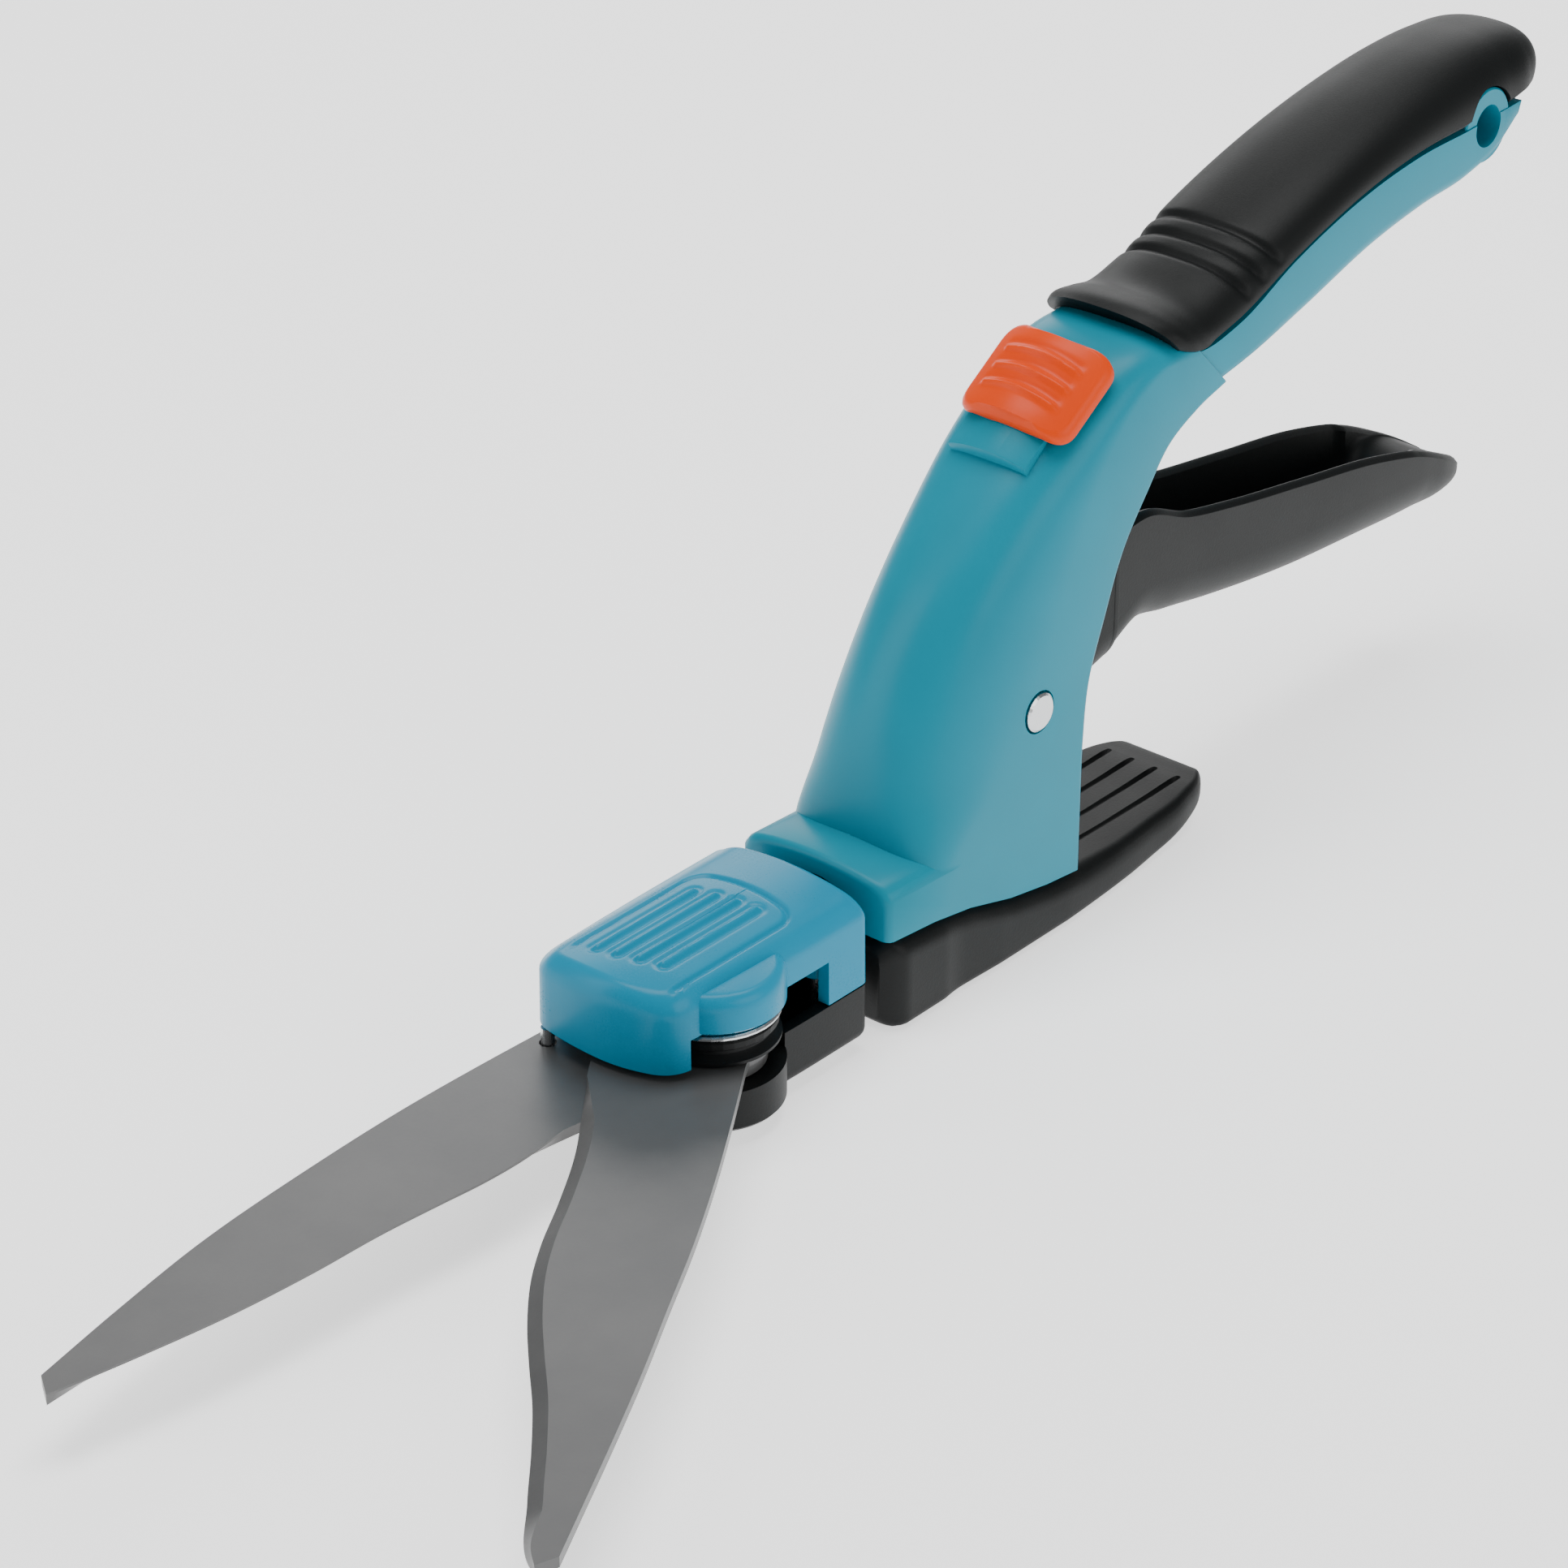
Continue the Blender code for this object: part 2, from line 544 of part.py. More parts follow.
def build_yoke():
    """The slide in the head that holds the turning rod end and carries the drive pin slot."""
    dx, dy = drive_point()
    outline = [(-50.6, -5.0), (YOKE_REAR, -5.0), (YOKE_REAR, 5.0), (-50.6, 6.4), (-57.0, 11.0),
               (dx - 3.4, 11.4), (dx - 3.4, 4.4), (-60.0, 4.0), (-57.4, 3.9), (-52.8, 0.2)]
    at = (ROD_END, 0.0, NECK_Z)
    yoke = prism("rod_yoke", outline, 14.0, 21.2, "z", black, at)
    pocket = [(-0.3, 3.4 + GAP), (2.3, 3.4 + GAP)]
    combine(yoke, round_bar("pocket_tool", pocket, at, "x"))
    combine(yoke, round_bar("yoke_bore_tool", [(-0.2, ROD_R + GAP), (9.0, ROD_R + GAP)], at, "x"))
    ramp = [(dx - 6.0, 17.0), (-53.5, 17.0), (-53.5, 30.0), (dx - 6.0, 30.0)]
    combine(yoke, prism("yoke_step_tool", ramp, -10.0, 20.0, "y"))
    slot = [(dx - 1.75, dy - 1.9), (dx + 1.75, dy - 1.9), (dx + 1.75, dy + 2.6), (dx - 1.75, dy + 2.6)]
    combine(yoke, prism("drive_slot_tool", slot, 10.0, 30.0))
    return yoke


FIXED_BACK = [(-76.3, 15.0), (-90.2, 15.6), (-105.0, 15.9), (-125.3, 15.3), (-149.9, 13.4),
              (-167.9, 10.4), (-185.6, 6.9)]
FIXED_CUT = [(-188.2, 3.0), (-186.2, 2.6), (-172.7, -0.1), (-158.4, -2.5), (-144.3, -3.9),
             (-130.3, -4.6), (-119.0, -5.8), (-112.0, -6.6), (-104.6, -6.9), (-94.0, -6.2),
             (-86.0, -4.0), (-80.0, 0.0)]
MOVING_BACK = [(-66.1, -17.6), (-78.0, -25.4), (-93.1, -34.9), (-105.9, -42.4), (-119.6, -49.8),
               (-132.8, -57.0), (-147.7, -64.7), (-161.1, -71.4), (-170.3, -76.0)]
MOVING_CUT = [(-173.8, -74.8), (-172.5, -72.3), (-163.8, -64.1), (-155.1, -56.7),
              (-147.4, -49.7), (-140.9, -43.0), (-134.0, -36.2), (-125.4, -29.0),
              (-118.9, -24.7), (-109.5, -19.4), (-98.1, -12.3), (-90.6, -6.6), (-83.0, -0.8)]


def blade(name, back, cut, root, low, bevel_up):
    """A flat blade with a ground bevel along its cutting edge."""
    edge = curve_through(cut, 3)
    outline = curve_through(back, 2) + edge + root
    first = 2 * (len(back) - 1) + 1
    shifted = list(outline)
    for i in range(first + 1, first + len(edge) - 1):
        a, b = Vector(outline[i - 1]), Vector(outline[i + 1])
        run = (b - a).normalized()
        inward = Vector((run.y, -run.x)) if bevel_up else Vector((-run.y, run.x))
        fade = min(1.0, (i - first) / 4.0, (first + len(edge) - 1 - i) / 4.0)
        shifted[i] = tuple(Vector(outline[i]) + inward * 2.2 * fade)
    levels = (low, low + BLADE_T)
    if bevel_up:
        rings = [[(x, y, levels[0]) for x, y in outline],
                 [(x, y, levels[0] + 0.4) for x, y in outline],
                 [(x, y, levels[1]) for x, y in shifted]]
    else:
        rings = [[(x, y, levels[0]) for x, y in shifted],
                 [(x, y, levels[1] - 0.4) for x, y in outline],
                 [(x, y, levels[1]) for x, y in outline]]
    return loft(name, rings, coated, True, (PIVOT[0], PIVOT[1], low))


BLADE_SCREW = (-47.0, 9.0)
LOCATING_PIN = (-77.8, 12.1)


def build_blades():
    """The fixed blade bolted to the frame and the moving blade that lies on it."""
    root = arc(PIVOT, 8.4, 250.0, 330.0, 6) + [(-47.0, -6.0), (-43.0, 4.0), (-43.0, 11.6),
                                               (-72.8, 11.6), (-74.0, 12.2)]
    root = [(-83.0, -8.0), (-72.0, -15.6)] + root
    fixed = blade("fixed_blade", FIXED_BACK, FIXED_CUT[:-2], root, FIXED_Z, False)
    dx, dy = drive_point()
    tail = [(-77.6, 3.0)] + arc((dx, dy), 3.2, 150.0, 10.0, 6) + arc(PIVOT, 8.8, 60.0, -100.0, 12)
    moving = blade("moving_blade", MOVING_BACK, MOVING_CUT, tail, MOVING_Z, True)
    at = (PIVOT[0], PIVOT[1], 0.0)
    for body in (fixed, moving):
        tool = round_bar(body.name + "_bore_tool", [(0.0, 3.0 + GAP), (30.0, 3.0 + GAP)], at, "z")
        combine(body, tool)
    holes = ((fixed, "screw", BLADE_SCREW, 1.8), (fixed, "locating", LOCATING_PIN, 1.1 + GAP),
             (moving, "drive", (dx, dy), 1.65))
    for body, label, (x, y), radius in holes:
        tool = round_bar(label + "_way_tool", [(0.0, radius), (30.0, radius)], (x, y, 0.0), "z", None, 20)
        combine(body, tool)
    round_bar("drive_pin", [(11.7, 1.2), (12.0, 1.5), (19.2, 1.5), (19.6, 1.1)],
              (dx, dy, 0.0), "z", steel, 16)


def build_pivot_stack():
    """Bolt, washer, two black discs and the lock nut on the blade axis."""
    at = (PIVOT[0], PIVOT[1], 0.0)
    round_bar("blade_bolt", [(2.9, 2.8), (19.2, 2.8), (19.2, 5.6), (21.4, 5.2)], at, "z", steel)
    for name, low, high, radius, bore, mat in (
            ("steel_washer", 17.9, 18.8, 10.6, 3.2, steel),
            ("upper_disc", 16.0, 17.6, 10.2, 3.2, black),
            ("lower_disc", 13.5, 15.7, 10.4, 3.2, black)):
        disc = round_bar(name, [(low, radius - 0.3), (low + 0.3, radius), (high - 0.3, radius),
                                (high, radius - 0.3)], at, "z", mat, 36)
        combine(disc, round_bar(name + "_bore_tool", [(0.0, bore), (30.0, bore)], at, "z"))
    nut = round_bar("lock_nut", [(3.0, 4.6), (3.4, 5.0), (6.4, 5.0)], at, "z", steel, 6)
    combine(nut, round_bar("nut_bore_tool", [(0.0, 3.0), (30.0, 3.0)], at, "z"))


def head_outline(front):
    """Plan outline of the head with the given front position, tapering a little forwards."""
    h, w = HEAD_HALF, HEAD_FAR
    return [(HEAD_REAR, -h + 1.2), (HEAD_REAR - 1.2, -h), (-54.0, -h + 0.2),
            (front + 6.0, -h + 0.8), (front + 2.2, -h + 1.8), (front - 0.2, -h + 4.4),
            (front - 1.2, 0.0), (front - 0.4, w - 4.4), (front + 1.8, w - 1.6),
            (front + 5.0, w - 0.3), (-54.0, w), (HEAD_REAR - 1.2, w), (HEAD_REAR, w - 1.2)]


def build_frame():
    """The lower head frame with the bolt lobe and the neck tube."""
    low = head_outline(-74.0)
    rings = [[(x * 0.99 - 0.4, y * 0.96, FRAME_BOTTOM) for x, y in low],
             [(x, y, FRAME_BOTTOM + 1.2) for x, y in low],
             [(x, y, SPLIT_Z - GAP / 2) for x, y in low]]
    frame = loft("head_frame", rings, black, True, (HEAD_REAR, 0.0, NECK_Z))
    lobe = [(FRAME_BOTTOM, LOBE_R - 0.8), (FRAME_BOTTOM + 0.8, LOBE_R), (9.1, LOBE_R)]
    at = (PIVOT[0], PIVOT[1], 0.0)
    combine(frame, round_bar("lobe_tool", lobe, at, "z", None, 40), "UNION")
    rear = [(-35.2, NECK_R), (-12.8, NECK_R)]
    combine(frame, round_bar("neck_tool", rear, (0, 0, NECK_Z), "x", None, 40), "UNION")
    front_clear = [(-90.0, -40.0), (-52.8, -40.0), (-52.8, 11.9), (-72.6, 11.9), (-72.6, 40.0),
                   (-90.0, 40.0)]
    combine(frame, prism("blade_bay_tool", front_clear, 9.1, 30.0))
    rear_bay = [(-55.0, -12.2), (-37.0, -12.2), (-37.0, 12.1), (-55.0, 12.1)]
    combine(frame, prism("rear_bay_tool", rear_bay, 9.1, 30.0))
    combine(frame, round_bar("tube_bore_tool", [(-40.0, 4.2), (0.0, 4.2)], (0, 0, NECK_Z), "x"))
    combine(frame, round_bar("bolt_way_tool", [(0.0, 3.0 + GAP), (20.0, 3.0 + GAP)], at, "z"))
    combine(frame, round_bar("nut_bay_tool", [(0.0, 6.0), (6.8, 6.0)], at, "z"))
    for i, (x, y) in enumerate((BLADE_SCREW,) + COVER_SCREWS):
        way = round_bar("frame_way_tool_%d" % i, [(0.0, 1.75), (20.0, 1.75)], (x, y, 0.0), "z")
        combine(frame, way)
    for i, (x, y) in enumerate((BLADE_SCREW,) + COVER_SCREWS):
        well = round_bar("frame_well_tool_%d" % i, [(0.0, 3.2), (5.2, 3.2)], (x, y, 0.0), "z")
        combine(frame, well)
    groove = [(-15.3, 30.0), (-13.7, 30.0)]
    cutter = round_bar("ring_groove_tool", groove, (0, 0, NECK_Z), "x")
    combine(cutter, round_bar("groove_core_tool", [(-20.0, 6.0), (0.0, 6.0)], (0, 0, NECK_Z), "x"))
    combine(frame, cutter)
    return frame


COVER_SCREWS = ((-39.6, -9.4), (-39.6, 9.4))


def build_cover():
    """The arched head cover with its lobe, side window and ribbed panel."""
    top = cover_surface()
    lobe = [(19.6, LOBE_R - 0.4), (20.0, LOBE_R), (23.4, LOBE_R), (24.8, LOBE_R - 1.0),
            (25.5, LOBE_R - 2.6)]
    at = (PIVOT[0], PIVOT[1], 0.0)
    combine(top, round_bar("cover_lobe_tool", lobe, at, "z", None, 44), "UNION")
    bay = [(-74.6, 11.9), (-35.2, 12.4), (-35.2, -12.2), (-68.0, -12.2), (-74.6, -9.6)]
    combine(top, prism("cover_bay_tool", bay, 0.0, 22.2))
    stack = [(0.0, 10.8 + GAP), (19.1, 10.8 + GAP), (19.1, 6.4), (22.2, 6.4)]
    combine(top, round_bar("stack_bay_tool", stack, at, "z"))
    blade_gap = [(-95.0, -40.0), (-72.6, -40.0), (-72.6, 40.0), (-95.0, 40.0)]
    combine(top, prism("blade_gap_tool", blade_gap, 0.0, 14.4))
    open_side = [(-73.2, -40.0), (-42.6, -40.0), (-42.6, -8.0), (-73.2, -8.0)]
    combine(top, prism("lobe_gap_tool", open_side, 0.0, 19.6))
    rear = [(-41.0, NECK_R + GAP), (-32.0, NECK_R + GAP)]
    combine(top, round_bar("rear_way_tool", rear, (0, 0, NECK_Z), "x"))
    for i, (x, y) in enumerate(COVER_SCREWS):
        post = round_bar("post_tool_%d" % i, [(14.8, 2.6), (23.0, 2.6)], (x, y, 0.0), "z")
        combine(top, post, "UNION")
        way = round_bar("post_way_tool_%d" % i, [(0.0, 1.6), (21.0, 1.6)], (x, y, 0.0), "z")
        combine(top, way)
    return top


def cover_surface():
    """Outer solid of the cover: walls, rounded shoulder and arched top."""
    rings = []
    for z, shrink, crown in ((SPLIT_Z + GAP / 2, 0.0, 0.0), (23.6, 0.1, 0.0), (25.2, 0.4, 0.3),
                             (26.0, 1.0, 0.9), (26.2, 2.0, 1.4), (26.5, 6.0, 1.8), (26.6, 10.0, 1.9)):
        ring = []
        for x, y in head_outline(HEAD_FRONT + 1.2):
            sx = 1.0 - shrink / 23.0
            sy = 1.0 - shrink / HEAD_HALF
            cx = (HEAD_REAR + HEAD_FRONT) / 2
            px, py = cx + (x - cx) * sx, y * sy
            ring.append((px, py, z + crown * (1.0 - (py / HEAD_HALF) ** 2)))
        rings.append(ring)
    return loft("head_cover", rings, head_teal, True, (HEAD_REAR, 0.0, NECK_Z))


def build_head_fixings():
    """Screws and pin that hold the cover and the fixed blade to the frame."""
    for i, (x, y) in enumerate(COVER_SCREWS):
        screw = round_bar("cover_screw_%s" % ("left", "right")[i],
                          [(3.2, 2.2), (3.6, 2.7), (5.0, 2.7), (5.0, 1.3), (20.4, 1.3)],
                          (x, y, 0.0), "z", steel, 20)
        cross_recess(screw, (x, y, 3.2), -1.0)
    x, y = BLADE_SCREW
    screw = round_bar("blade_screw", [(3.2, 2.2), (3.6, 2.7), (5.0, 2.7), (5.0, 1.4), (11.0, 1.4)],
                      (x, y, 0.0), "z", steel, 20)
    cross_recess(screw, (x, y, 3.2), -1.0)
    x, y = LOCATING_PIN
    round_bar("locating_pin", [(8.2, 0.9), (8.4, 1.1), (14.0, 1.1)], (x, y, 0.0), "z", steel, 20)


def build_neck_ring():
    """The split ring that keeps the neck tube in the collar."""
    at = (0.0, 0.0, NECK_Z)
    ring = round_bar("neck_ring", [(-15.1, 9.6), (-13.9, 9.6)], at, "x", spring_steel, 36)
    combine(ring, round_bar("neck_ring_bore_tool", [(-20.0, 6.4), (0.0, 6.4)], at, "x"))
    gap = [(-20.0, 0.0), (0.0, 0.0), (0.0, 12.0), (-20.0, 12.0)]
    combine(ring, prism("neck_ring_gap_tool", gap, -2.0, 2.0, "y"))


LOCK_REST = 1.6                # how far up its seat the slider rests


def build_lock():
    """The lock slider, bent over the pad and ribbed, and the hook below it."""
    stations = []
    for y, end in ((-11.3, 5.6), (-10.9, 7.0), (-9.6, 8.2), (-8.0, 8.6), (-4.0, 8.6), (0.0, 8.6),
                   (4.0, 8.6), (8.0, 8.6), (9.4, 8.2), (10.4, 7.0), (10.8, 5.6)):
        low, high = (1.8, 4.2) if abs(y) < 10.5 else (2.2, 3.8)
        outline = [(-end + 0.4, low), (end - 0.4, low), (end, low + 0.4), (end, high - 0.4),
                   (end - 0.6, high), (-end + 0.6, high), (-end, high - 0.4), (-end, low + 0.4)]
        stations.append((y, [(a + LOCK_REST, up) for a, up in outline]))
    lock = loft("lock_slider", crowned(stations), orange, True, slope_point(0, 0, 0))
    for i, a in enumerate((-1.7, 1.8, 5.3)):
        stations = []
        for k in range(13):
            y = -7.4 + 14.8 * k / 12
            along = a + 0.010 * (54.8 - y * y)
            stations.append((y, [(along - 0.7, 4.0), (along + 0.7, 4.0), (along + 0.45, 4.8),
                                 (along - 0.45, 4.8)]))
        combine(lock, loft("lock_rib_tool_%d" % i, crowned(stations)), "UNION")
    slope_block("lock_hook", (-3.0, 3.0), (-1.9, 1.9), (-8.0, 1.6), black)


for old in list(bpy.data.objects):
    if old.type in {"MESH", "CAMERA", "LIGHT"}:
        bpy.data.objects.remove(old, do_unlink=True)

build_housing()
build_grip()
build_foot()
build_foot_screws()
build_lever()
build_lever_pin()
build_spring()
build_rod()
build_yoke()
build_neck_ring()
build_frame()
build_cover()
build_head_fixings()
build_blades()
build_pivot_stack()
build_lock()
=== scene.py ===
import json
import math

import bmesh
import bpy
import numpy as np
from mathutils import Matrix, Vector


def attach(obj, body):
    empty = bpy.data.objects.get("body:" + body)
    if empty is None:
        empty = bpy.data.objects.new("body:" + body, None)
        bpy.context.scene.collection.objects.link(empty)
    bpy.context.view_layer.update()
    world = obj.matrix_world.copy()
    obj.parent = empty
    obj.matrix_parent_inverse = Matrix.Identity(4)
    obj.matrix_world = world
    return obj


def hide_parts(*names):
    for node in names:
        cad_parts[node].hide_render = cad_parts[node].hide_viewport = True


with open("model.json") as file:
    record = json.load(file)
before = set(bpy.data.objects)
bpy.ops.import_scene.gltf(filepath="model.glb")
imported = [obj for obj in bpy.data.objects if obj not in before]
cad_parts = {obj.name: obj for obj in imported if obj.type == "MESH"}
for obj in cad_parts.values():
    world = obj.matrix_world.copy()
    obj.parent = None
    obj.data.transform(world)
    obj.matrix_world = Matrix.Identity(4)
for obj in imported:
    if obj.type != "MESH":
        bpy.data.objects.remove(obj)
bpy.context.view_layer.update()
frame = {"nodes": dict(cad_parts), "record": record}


# ---------------------------------------------------------------- housing
# One teal moulding: the hollow rising body, the collar round the neck, the strip under the
# grip with its hanging hole, and the raised pad of the lock.  It screws down onto the foot.

NECK = (0.0, 0.0, 16.0)
PIN = (8.8, 0.0, 42.2)
HANG = (131.3, 0.0, 103.8)
WALL = 2.4
MM = 0.001
HALF_BODY = 14.6                # half width of body and collar on the left, in millimetres
# front x z, side ridge x z, rear edge x z, half width, nose power, degrees of crease at the ridge
BODY = [
    (-20.0, 8.0, -13.0, 7.0, 20.8, 4.0, 14.6, 0.52, 0.0),
    (-20.0, 24.0, -11.0, 22.0, 20.8, 19.0, 14.6, 0.58, 0.0),
    (-18.2, 36.0, -0.5, 33.0, 21.0, 32.0, 14.6, 0.72, 2.0),
    (-14.6, 48.0, 6.0, 44.0, 22.2, 42.3, 14.5, 0.78, 6.0),
    (-8.2, 60.0, 12.0, 55.0, 26.0, 52.5, 14.4, 0.78, 13.0),
    (1.6, 71.0, 18.0, 68.0, 30.8, 62.8, 14.2, 0.74, 20.0),
    (11.6, 80.0, 24.5, 79.0, 36.8, 70.4, 14.0, 0.71, 24.0),
    (22.0, 87.2, 32.5, 86.5, 42.6, 76.4, 13.7, 0.68, 24.0),
    (33.0, 93.0, 41.0, 90.0, 50.0, 79.8, 13.5, 0.66, 18.0),
    (46.0, 95.2, 51.0, 89.0, 58.0, 81.8, 13.3, 0.68, 10.0)]
CAVITY = BODY[:7] + [(19.5, 85.6, 30.8, 84.6, 41.4, 75.2, 13.8, 0.72, 20.0)]
FOOT_LINE = [(-28.5, 16.4), (-17.0, 15.3), (-8.0, 13.8), (2.5, 10.9), (12.0, 9.2), (20.8, 8.2)]
STRIP = [(44.0, 91.0, 48.6, 80.6, 12.5), (52.0, 89.6, 56.6, 82.0, 12.9), (60.6, 91.2, 64.6, 83.6, 13.2),
         (75.8, 97.2, 79.2, 87.0, 13.2), (97.0, 102.8, 99.6, 92.4, 13.2), (112.0, 104.6, 113.6, 94.6, 13.2),
         (125.8, 104.8, 126.4, 95.8, 13.2), (134.0, 105.2, 134.6, 98.2, 13.2),
         (141.6, 105.4, 140.6, 102.8, 13.0)]


def resample(rows, count):
    """Rows of numbers carried on a cubic Hermite curve over chord length s, with the slope at
    each row the length-weighted mean of its two neighbours; count even steps of s."""
    p = np.asarray(rows, float)
    h = np.linalg.norm(np.diff(p, axis=0), axis=1)
    s = np.r_[0.0, np.cumsum(h)]
    d = np.diff(p, axis=0) / h[:, None]
    inner = (d[:-1] * h[1:, None] + d[1:] * h[:-1, None]) / (h[:-1] + h[1:])[:, None]
    m = np.vstack([d[:1], inner, d[-1:]])
    t = np.linspace(0.0, s[-1], count)
    i = np.clip(np.searchsorted(s, t, side="right") - 1, 0, len(h) - 1)
    u, w = ((t - s[i]) / h[i])[:, None], h[i][:, None]
    return (p[i] * (2 * u**3 - 3 * u**2 + 1) + m[i] * w * (u**3 - 2 * u**2 + u)
            + p[i + 1] * (3 * u**2 - 2 * u**3) + m[i + 1] * w * (u**3 - u**2))


def rounded(corners, radius, steps=5):
    """Closed polygon whose corners are quadratic curves; radius is one number or one per corner."""
    p = np.asarray(corners, float)
    r = np.broadcast_to(radius, len(p))
    before, after = np.roll(p, 1, 0) - p, np.roll(p, -1, 0) - p
    la, lb = np.linalg.norm(before, axis=1), np.linalg.norm(after, axis=1)
    cut = np.minimum(r, np.minimum(la, lb) * 0.48)
    a = p + before / la[:, None] * cut[:, None]
    b = p + after / lb[:, None] * cut[:, None]
    t = np.linspace(0.0, 1.0, steps + 1)[None, :, None]
    out = (1 - t) ** 2 * a[:, None] + 2 * t * (1 - t) * p[:, None] + t**2 * b[:, None]
    return out.reshape(-1, p.shape[1])


def solid(name, points, faces):
    """Mesh object from millimetre points, with coincident points joined and normals outward."""
    mesh = bpy.data.meshes.new(name)
    mesh.from_pydata((np.asarray(points, float) * MM).tolist(), [], faces)
    edit = bmesh.new()
    edit.from_mesh(mesh)
    bmesh.ops.remove_doubles(edit, verts=edit.verts, dist=2e-6)
    bmesh.ops.recalc_face_normals(edit, faces=edit.faces)
    edit.to_mesh(mesh)
    edit.free()
    obj = bpy.data.objects.new(name, mesh)
    bpy.context.scene.collection.objects.link(obj)
    return obj


def skin(name, rings):
    """Closed body through rings[i, j]: section i, point j round it; the end sections are filled."""
    rings = np.asarray(rings, float)
    n, m = rings.shape[:2]
    grid = np.arange(n * m).reshape(n, m)
    a, b = grid[:-1], grid[1:]
    sides = np.stack([a, np.roll(a, -1, 1), np.roll(b, -1, 1), b], -1).reshape(-1, 4).tolist()
    return solid(name, rings.reshape(-1, 3), sides + [grid[0][::-1].tolist(), grid[-1].tolist()])


def prism(outline, low, high, axis="z"):
    """Tool: a flat outline pushed along y or z."""
    o = np.asarray(outline, float)
    order = (0, 1, 2) if axis == "z" else (0, 2, 1)
    rings = [np.c_[o, np.full(len(o), w)][:, order] for w in (low, high)]
    return skin("tool", rings)


def turned(profile, at, axis, steps=64):
    """A round body about an axis through a point: (distance along, radius) pairs."""
    a = np.linspace(0.0, math.tau, steps, endpoint=False)
    order = {"x": (0, 1, 2), "y": (2, 0, 1), "z": (1, 2, 0)}[axis]
    rings = [np.c_[np.full(steps, d), r * np.cos(a), r * np.sin(a)][:, order] for d, r in profile]
    return skin("tool", np.asarray(rings) + np.asarray(at, float))


def drill(at, axis, radius, low=-60.0, high=60.0):
    return turned([(low, radius), (high, radius)], at, axis)


def carve(obj, add=(), cut=()):
    """Welds on some bodies, cuts others away, and keeps the plain result."""
    for kind, tools in (("UNION", add), ("DIFFERENCE", cut)):
        for tool in tools:
            step = obj.modifiers.new(kind, "BOOLEAN")
            step.operation, step.object, step.solver = kind, tool, "EXACT"
    graph = bpy.context.evaluated_depsgraph_get()
    mesh = bpy.data.meshes.new_from_object(obj.evaluated_get(graph))
    obj.modifiers.clear()
    obj.data = mesh
    for tool in list(add) + list(cut):
        bpy.data.objects.remove(tool, do_unlink=True)
    return obj


def widen(y, z):
    """The right side is 1.08 times as wide as the left low down and 0.92 times at the grip."""
    return np.where(y > 0.0, y * np.interp(z, (40.0, 72.0, 96.0), (1.08, 1.0, 0.92)), y)


def housing_ring(row, inset=0.0, reach=0.0):
    """Section of the body: nose r + (f - r) ((sin a - sin c) / (1 - sin c))^k, across half
    (cos a / cos c)^k for a from c, the crease, to pi - c; then straight sides back to a rounded
    rear edge."""
    f, r, b, (half, k, crease) = np.split(np.asarray(row), (2, 4, 6))
    crease = math.radians(max(crease, 0.0))
    axis = (f - b) / np.linalg.norm(f - b)
    f, b, side = f - axis * inset, b - axis * reach, half - inset
    a = np.linspace(crease, math.pi - crease, 49)
    across = np.sign(np.cos(a)) * np.minimum(np.abs(np.cos(a)) / math.cos(crease), 1.0) ** k * side
    rise = np.clip((np.sin(a) - math.sin(crease)) / (1.0 - math.sin(crease)), 0.0, 1.0)
    p = r + (f - r) * (rise ** k)[:, None]
    t = np.linspace(0.0, 1.0, 6)[:, None]
    edge = 1.0 if inset == 0.0 else 0.4
    rear = b + axis * edge * (1 - t) ** 2
    bend = side - edge * t[:, 0] ** 2
    ring = [np.c_[p[:, 0], across, p[:, 1]], np.c_[rear[:, 0], -bend, rear[:, 1]],
            np.c_[rear[::-1, 0], bend[::-1], rear[::-1, 1]]]
    ring = np.vstack(ring)
    ring[:, 1] = widen(ring[:, 1], row[1])
    return ring


def foot_line_block(offset, top):
    """Tool: everything above or below the joint line between housing and foot."""
    edge = np.asarray(FOOT_LINE) + (0.0, offset)
    ends = [(-60.0, edge[0, 1]), *edge.tolist(), (90.0, edge[-1, 1])]
    far = 60.0 if top else -30.0
    return prism(ends + [(90.0, far), (-60.0, far)], -40.0, 40.0, "y")


def collar_rings():
    """Arched collar sections; the front rim is rounded over 1.4 mm."""
    rings = []
    y = np.linspace(1.0, -1.0, 33)
    for x, shrink in ((-28.5, 1.3), (-28.3, 0.7), (-27.9, 0.25), (-27.2, 0.0), (-10.0, 0.0), (4.0, 1.0)):
        half, high = HALF_BODY - shrink, 25.4 - shrink - (x + 27.2) * 0.045
        top = np.c_[np.full(33, x), widen(y * half, 0.0), high + 1.6 * (1 - y**2) - 2.0 * np.abs(y) ** 14]
        rings.append(np.vstack([[(x, -half, 4.0), (x, half * 1.08, 4.0)], top]))
    return rings


SLOPE = math.radians(33.0)
SEAT = (22.5, 88.3)


def on_slope(points):
    """(along, across, up) on the lock seat to x, y, z."""
    a, c, u = np.asarray(points, float).T
    return np.c_[SEAT[0] + a * math.cos(SLOPE) - u * math.sin(SLOPE), c,
                 SEAT[1] + a * math.sin(SLOPE) + u * math.cos(SLOPE)]


CROWN = 0.028


def slope_block(outline, y0, y1, crown=CROWN):
    """Body across the lock seat: an (along, up) outline swept over y, at up - crown y^2."""
    rings = []
    for y in np.linspace(y0, y1, 33):
        flat = np.asarray(outline)
        rings.append(on_slope(np.c_[flat[:, 0], np.full(len(flat), y), flat[:, 1] - crown * y * y]))
    return skin("tool", rings)


